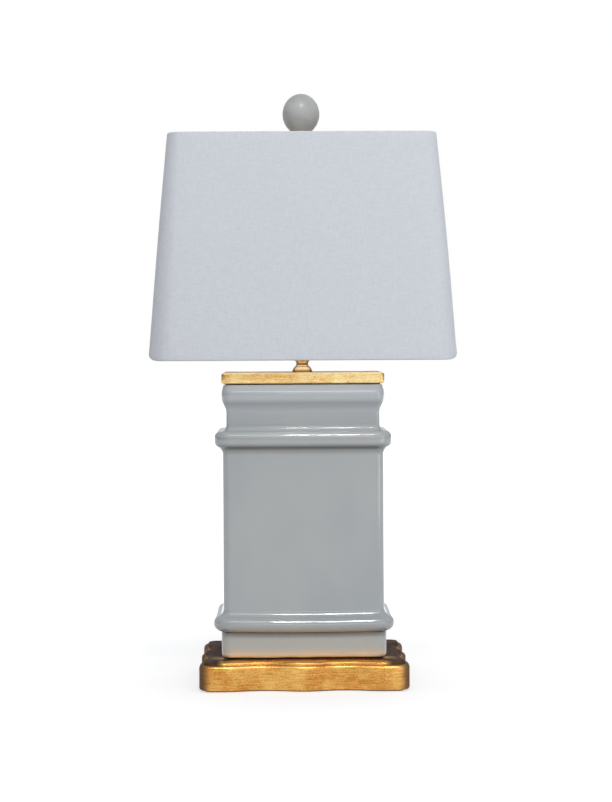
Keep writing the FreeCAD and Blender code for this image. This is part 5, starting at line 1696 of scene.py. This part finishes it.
@dataclass
class Finial:
    """The pale stone ball on its turned brass base, and the washer under it."""

    bottom: float = 577.4 * MM
    ball: float = 20 * MM
    half_height: float = 22.1 * MM
    middle: float = 612.5 * MM
    cup: float = 10.5 * MM
    foot: float = 8 * MM
    stem: float = 5.6 * MM
    seat: float = 0.05 * MM
    bore: float = 3.16 * MM
    bore_top: float = 589 * MM

    def build(self) -> None:
        """Builds the base and the ball."""
        finish_node("finial_washer", Finish.BRASS.material())
        rim = self.middle - self.half_height * math.sqrt(1 - (self.cup / self.ball) ** 2)
        stem = (self.bottom + 2 * MM + rim - 1.2 * MM) / 2
        walk = Profile(self.bore, self.bottom).line(self.foot - 0.3 * MM, self.bottom)
        walk.line(self.foot, self.bottom + 0.3 * MM).line(self.foot, self.bottom + 1.6 * MM)
        walk.line(self.foot - 0.4 * MM, self.bottom + 2 * MM).arc((13.6 * MM, stem), self.stem, stem, 7)
        walk.arc((13.2 * MM, stem - 0.1 * MM), self.cup - 0.6 * MM, rim - 1.5 * MM, 7)
        walk.line(self.cup, rim - 1.0 * MM).line(self.cup, rim - 0.2 * MM).line(self.cup - 0.15 * MM, rim)
        for step in range(1, 6):
            out = (self.cup - 0.15 * MM) * (1 - step / 6)
            walk.line(out, self.middle - self.half_height * math.sqrt(1 - (out / self.ball) ** 2) - self.seat)
        walk.line(0, self.middle - self.half_height - self.seat).line(0, self.bore_top)
        walk.line(self.bore, self.bore_top)
        bm = bmesh.new()
        turned(bm, walk.points, steps=64)
        Part("finial_foot", "finial", "finial_brass", Finish.BRASS.material(), ("finial_base",)).make(bm)
        ball = bmesh.new()
        bmesh.ops.create_uvsphere(ball, u_segments=96, v_segments=64, radius=1)
        bmesh.ops.scale(ball, verts=ball.verts, vec=(self.ball, self.ball, self.half_height))
        bmesh.ops.translate(ball, verts=ball.verts, vec=(0, 0, self.middle))
        Part("finial_stone_ball", "finial", "finial_stone", Finish.STONE.material(), ("finial_ball",)).make(ball)


@dataclass
class Bulb:
    """The round opal bulb in its threaded cap."""

    glass: float = 30 * MM
    middle: float = 469.68 * MM
    neck: float = 12.6 * MM
    throat: float = 45 * MM
    glass_bottom: float = 413.65 * MM
    cap_bottom: float = 396.65 * MM
    cap_top: float = 417.65 * MM
    cap: float = 13 * MM
    cap_mouth: float = 9 * MM
    wall: float = 1 * MM
    pitch: float = 3.63 * MM
    thread: float = 0.5 * MM

    def build(self) -> None:
        """Builds the glass and its cap and finishes the tip."""
        outer = self.envelope(0)
        inner = self.envelope(self.wall)
        bm = bmesh.new()
        turned(bm, outer + inner[::-1], closed=False)
        Part("bulb_globe", "bulb", "bulb_glass", Finish.OPAL.material(), ("bulb_glass",)).make(bm)
        low, high = self.cap_bottom, self.cap_top
        walk = Profile(self.cap_mouth, low).line(self.cap - 0.6 * MM, low).line(self.cap, low + 0.8 * MM)
        walk.line(self.cap, high - 0.4 * MM, 60).line(self.cap - 0.35 * MM, high)
        walk.line(self.neck + 0.03 * MM, high).line(self.neck - 0.55 * MM, high - 4.2 * MM)
        walk.line(self.neck - 0.55 * MM, low + 0.5 * MM, 50).line(self.cap_mouth, low + 0.5 * MM)
        cap = bmesh.new()
        turned(cap, walk.points, steps=64)
        screw_thread(cap, self.pitch, self.thread, low + 1.2 * MM, high - 4.6 * MM)
        Part("bulb_cap", "bulb", "contact_metal", Finish.BULB_CAP.material(), ("bulb_screw_base",),
             THREAD_SHARP_PAST).make(cap)
        finish_node("bulb_tip", Finish.PHENOLIC.material())

    def envelope(self, inside: float) -> list[Point]:
        """Draws the glass from the top of the round down to the end of its neck.

        Args:
            inside: How far inside the outer face it lies.

        Returns:
            The line's points.
        """
        round_radius, throat = self.glass - inside, self.throat + inside
        out = self.neck - inside + throat
        drop = math.sqrt((round_radius + throat) ** 2 - out ** 2)
        share = round_radius / (round_radius + throat)
        meeting = (out * share, self.middle - drop * share)
        walk = Profile(0, self.middle + round_radius).arc((0, self.middle), round_radius, self.middle, 20)
        walk.arc((0, self.middle), *meeting, 12)
        walk.arc((out, self.middle - drop), self.neck - inside, self.middle - drop, 14)
        return walk.line(self.neck - inside, self.glass_bottom, 2).points


@dataclass(frozen=True)
class Light:
    """One soft light: where it hangs, what it looks at, its width and height, its watts and its beam."""

    name: str
    place: Sequence[float]
    target: Sequence[float]
    size: Point
    power: float
    beam: float = 0.0
    soft: float = 0.45

    def hang(self) -> None:
        """Hangs the light: a panel of its size or, with a beam, a spot that its size only stretches."""
        light = bpy.data.lights.new(self.name, "SPOT" if self.beam else "AREA")
        light.energy = self.power
        placed = bpy.data.objects.new(self.name, light)
        if self.beam:
            light.spot_size, light.spot_blend, light.shadow_soft_size = self.beam, 1.0, self.soft
            placed.scale = (*self.size, 1)
        else:
            light.shape = "RECTANGLE"
            light.size, light.size_y = self.size
        placed.location = self.place
        placed.visible_camera = False
        placed.rotation_euler = (Vector(self.target) - Vector(self.place)).to_track_quat("-Z", "Y").to_euler()
        bpy.context.scene.collection.objects.link(placed)


@dataclass
class Studio:
    """A pale floor, soft lights and the camera at the photograph's angle."""

    focal: float = 1843.0
    frame: tuple[int, int] = (612, 802)
    distance: float = 2.0
    height: float = 366.6 * MM
    yaw: float = math.radians(0.6)
    roll: float = math.radians(0.3)
    shift: Point = (3.9, -60.0)
    lights: tuple[Light, ...] = (
        Light("key", (0.2, -1.54, 2.06), (0.05, 0, 0.22), (1.5, 0.15), 3.5),
        Light("fill", (0.2, -1.54, 2.06), (0.05, 0, 0.22), (1.5, 0.9), 4.2),
        Light("side", (1.35, -1.2, 0.35), (0, 0, 0.3), (0.9, 0.7), 3.0),
        Light("front", (0.9, -3.1, 0.98), (0, 0, 0.25), (2.0, 1.2), 5),
        Light("grid", (0.05, -1.6, 0.72), (0, 0, 0.284), (3, 1), 18, math.radians(7.6)),
        Light("under", (0, -0.045, 0.345), (0, -0.045, 0), (0.2, 0.09), 0.045))
    panes: tuple[float, ...] = (-0.006, 0.022, 0.074, 0.109, 0.131, 0.185)

    def build(self) -> None:
        """Builds the studio."""
        self.place_camera()
        self.lay_floor()
        self.set_world()
        for light in self.lights:
            light.hang()
        for number, place in enumerate(self.panes, 1):
            Light(f"pane_{number}", (place, -1.5, 2.02), (place, 0, 0.22), (0.018, 0.5), 1.3).hang()
        bpy.context.scene.view_settings.view_transform = "Standard"

    def place_camera(self) -> None:
        """Sets the camera a little above the shade's lower rim, as the photograph has it."""
        camera = bpy.data.cameras.new("camera")
        longest = max(self.frame)
        camera.sensor_width = 36
        camera.lens = self.focal / longest * camera.sensor_width
        camera.shift_x, camera.shift_y = (value / longest for value in self.shift)
        placed = bpy.data.objects.new("camera", camera)
        placed.location = (-self.distance * math.sin(self.yaw), -self.distance * math.cos(self.yaw), self.height)
        placed.rotation_euler = (TURN / 4, self.roll, -self.yaw)
        bpy.context.scene.collection.objects.link(placed)
        bpy.context.scene.camera = placed

    def lay_floor(self) -> None:
        """Lays a wide pale floor that keeps the lamp's shadow."""
        bm = bmesh.new()
        bmesh.ops.create_grid(bm, x_segments=1, y_segments=1, size=9)
        mesh = bpy.data.meshes.new("floor")
        bm.to_mesh(mesh)
        bm.free()
        floor = bpy.data.objects.new("floor", mesh)
        tree = Tree.of_material("floor_paint")
        grain = tree.noise(tree.object_place(), 12, detail=4)
        colour = tree.mix(tree.ramp(grain, 0.3, 0.7), (0.6, 0.6, 0.6), (0.62, 0.62, 0.62))
        far = tree.add("VectorMath", {0: tree.object_place()}, operation="LENGTH").outputs["Value"]
        lift = tree.math("MULTIPLY", seen_directly(tree), tree.ramp(far, 0.1, 0.75, 0.58, 1.0))
        mirrored = tree.ramp(tree.add("LightPath").outputs["Is Glossy Ray"], 0.0, 1.0, 1.0, 0.82)
        lift = tree.math("MULTIPLY", lift, mirrored)
        mesh.materials.append(tree.surface({"Base Color": colour, "Roughness": 0.9, "Specular IOR Level": 0.0,
                                            "Emission Color": (1, 1, 1, 1), "Emission Strength": lift}))
        bpy.context.scene.collection.objects.link(floor)

    def set_world(self) -> None:
        """Lights the room softly, dimmer and warmer on the left, before a white backdrop."""
        world = bpy.data.worlds.new("room")
        tree = Tree(world)
        way = tree.add("SeparateXYZ", {"Vector": tree.add("TexCoord").outputs["Generated"]})
        across, ahead = way.outputs["X"], way.outputs["Y"]
        room = tree.mix(tree.ramp(across, -0.95, -0.2), (0.16, 0.14, 0.145), (0.165, 0.16, 0.168))
        sky = tree.math("MULTIPLY", tree.ramp(way.outputs["Z"], 0.02, 0.45), tree.ramp(ahead, -0.8, 0.3, 1.0, 0.35))
        glossy = tree.add("LightPath").outputs["Is Glossy Ray"]
        room = tree.mix(sky, room, tree.mix(glossy, (0.41, 0.425, 0.45), (1, 1, 1)))
        mirrored_front = tree.math("MULTIPLY", glossy, tree.ramp(ahead, -0.99, -0.8, 1.0, 0.0))
        room = tree.mix(mirrored_front, room, (0.6, 0.57, 0.55))
        rear = tree.mix(glossy, (0.8, 0.81, 0.83), (0.42, 0.44, 0.48))
        room = tree.mix(tree.ramp(ahead, 0.0, 0.6), room, rear)
        behind = tree.math("MULTIPLY", seen_directly(tree), tree.ramp(ahead, 0.8, 0.99))
        behind = tree.math("MULTIPLY", behind, tree.ramp(way.outputs["Z"], 0.12, 0.3, 1.0, 0.0))
        shown = tree.math("MAXIMUM", tree.add("LightPath").outputs["Is Camera Ray"], behind)
        room = tree.mix(shown, room, tree.mix(glossy, (1, 1, 1), (0.6, 0.61, 0.63)))
        light = tree.add("Background", {"Color": room, "Strength": 1.0})
        tree.links.new(light.outputs["Background"], tree.output.inputs["Surface"])
        bpy.context.scene.world = world


def main() -> None:
    """Builds the lamp and its studio."""
    logging.basicConfig(level=logging.INFO, format="%(name)s: %(message)s")
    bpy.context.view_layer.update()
    noise.seed_set(SEED)
    Studio().build()
    for piece in (Plinth(), Column(), Neck(), Lampholder(), Harp(), Shade(), Finial(), Bulb()):
        piece.build()
        log.info("%s is built", type(piece).__name__)


if __name__ == "__main__":
    main()
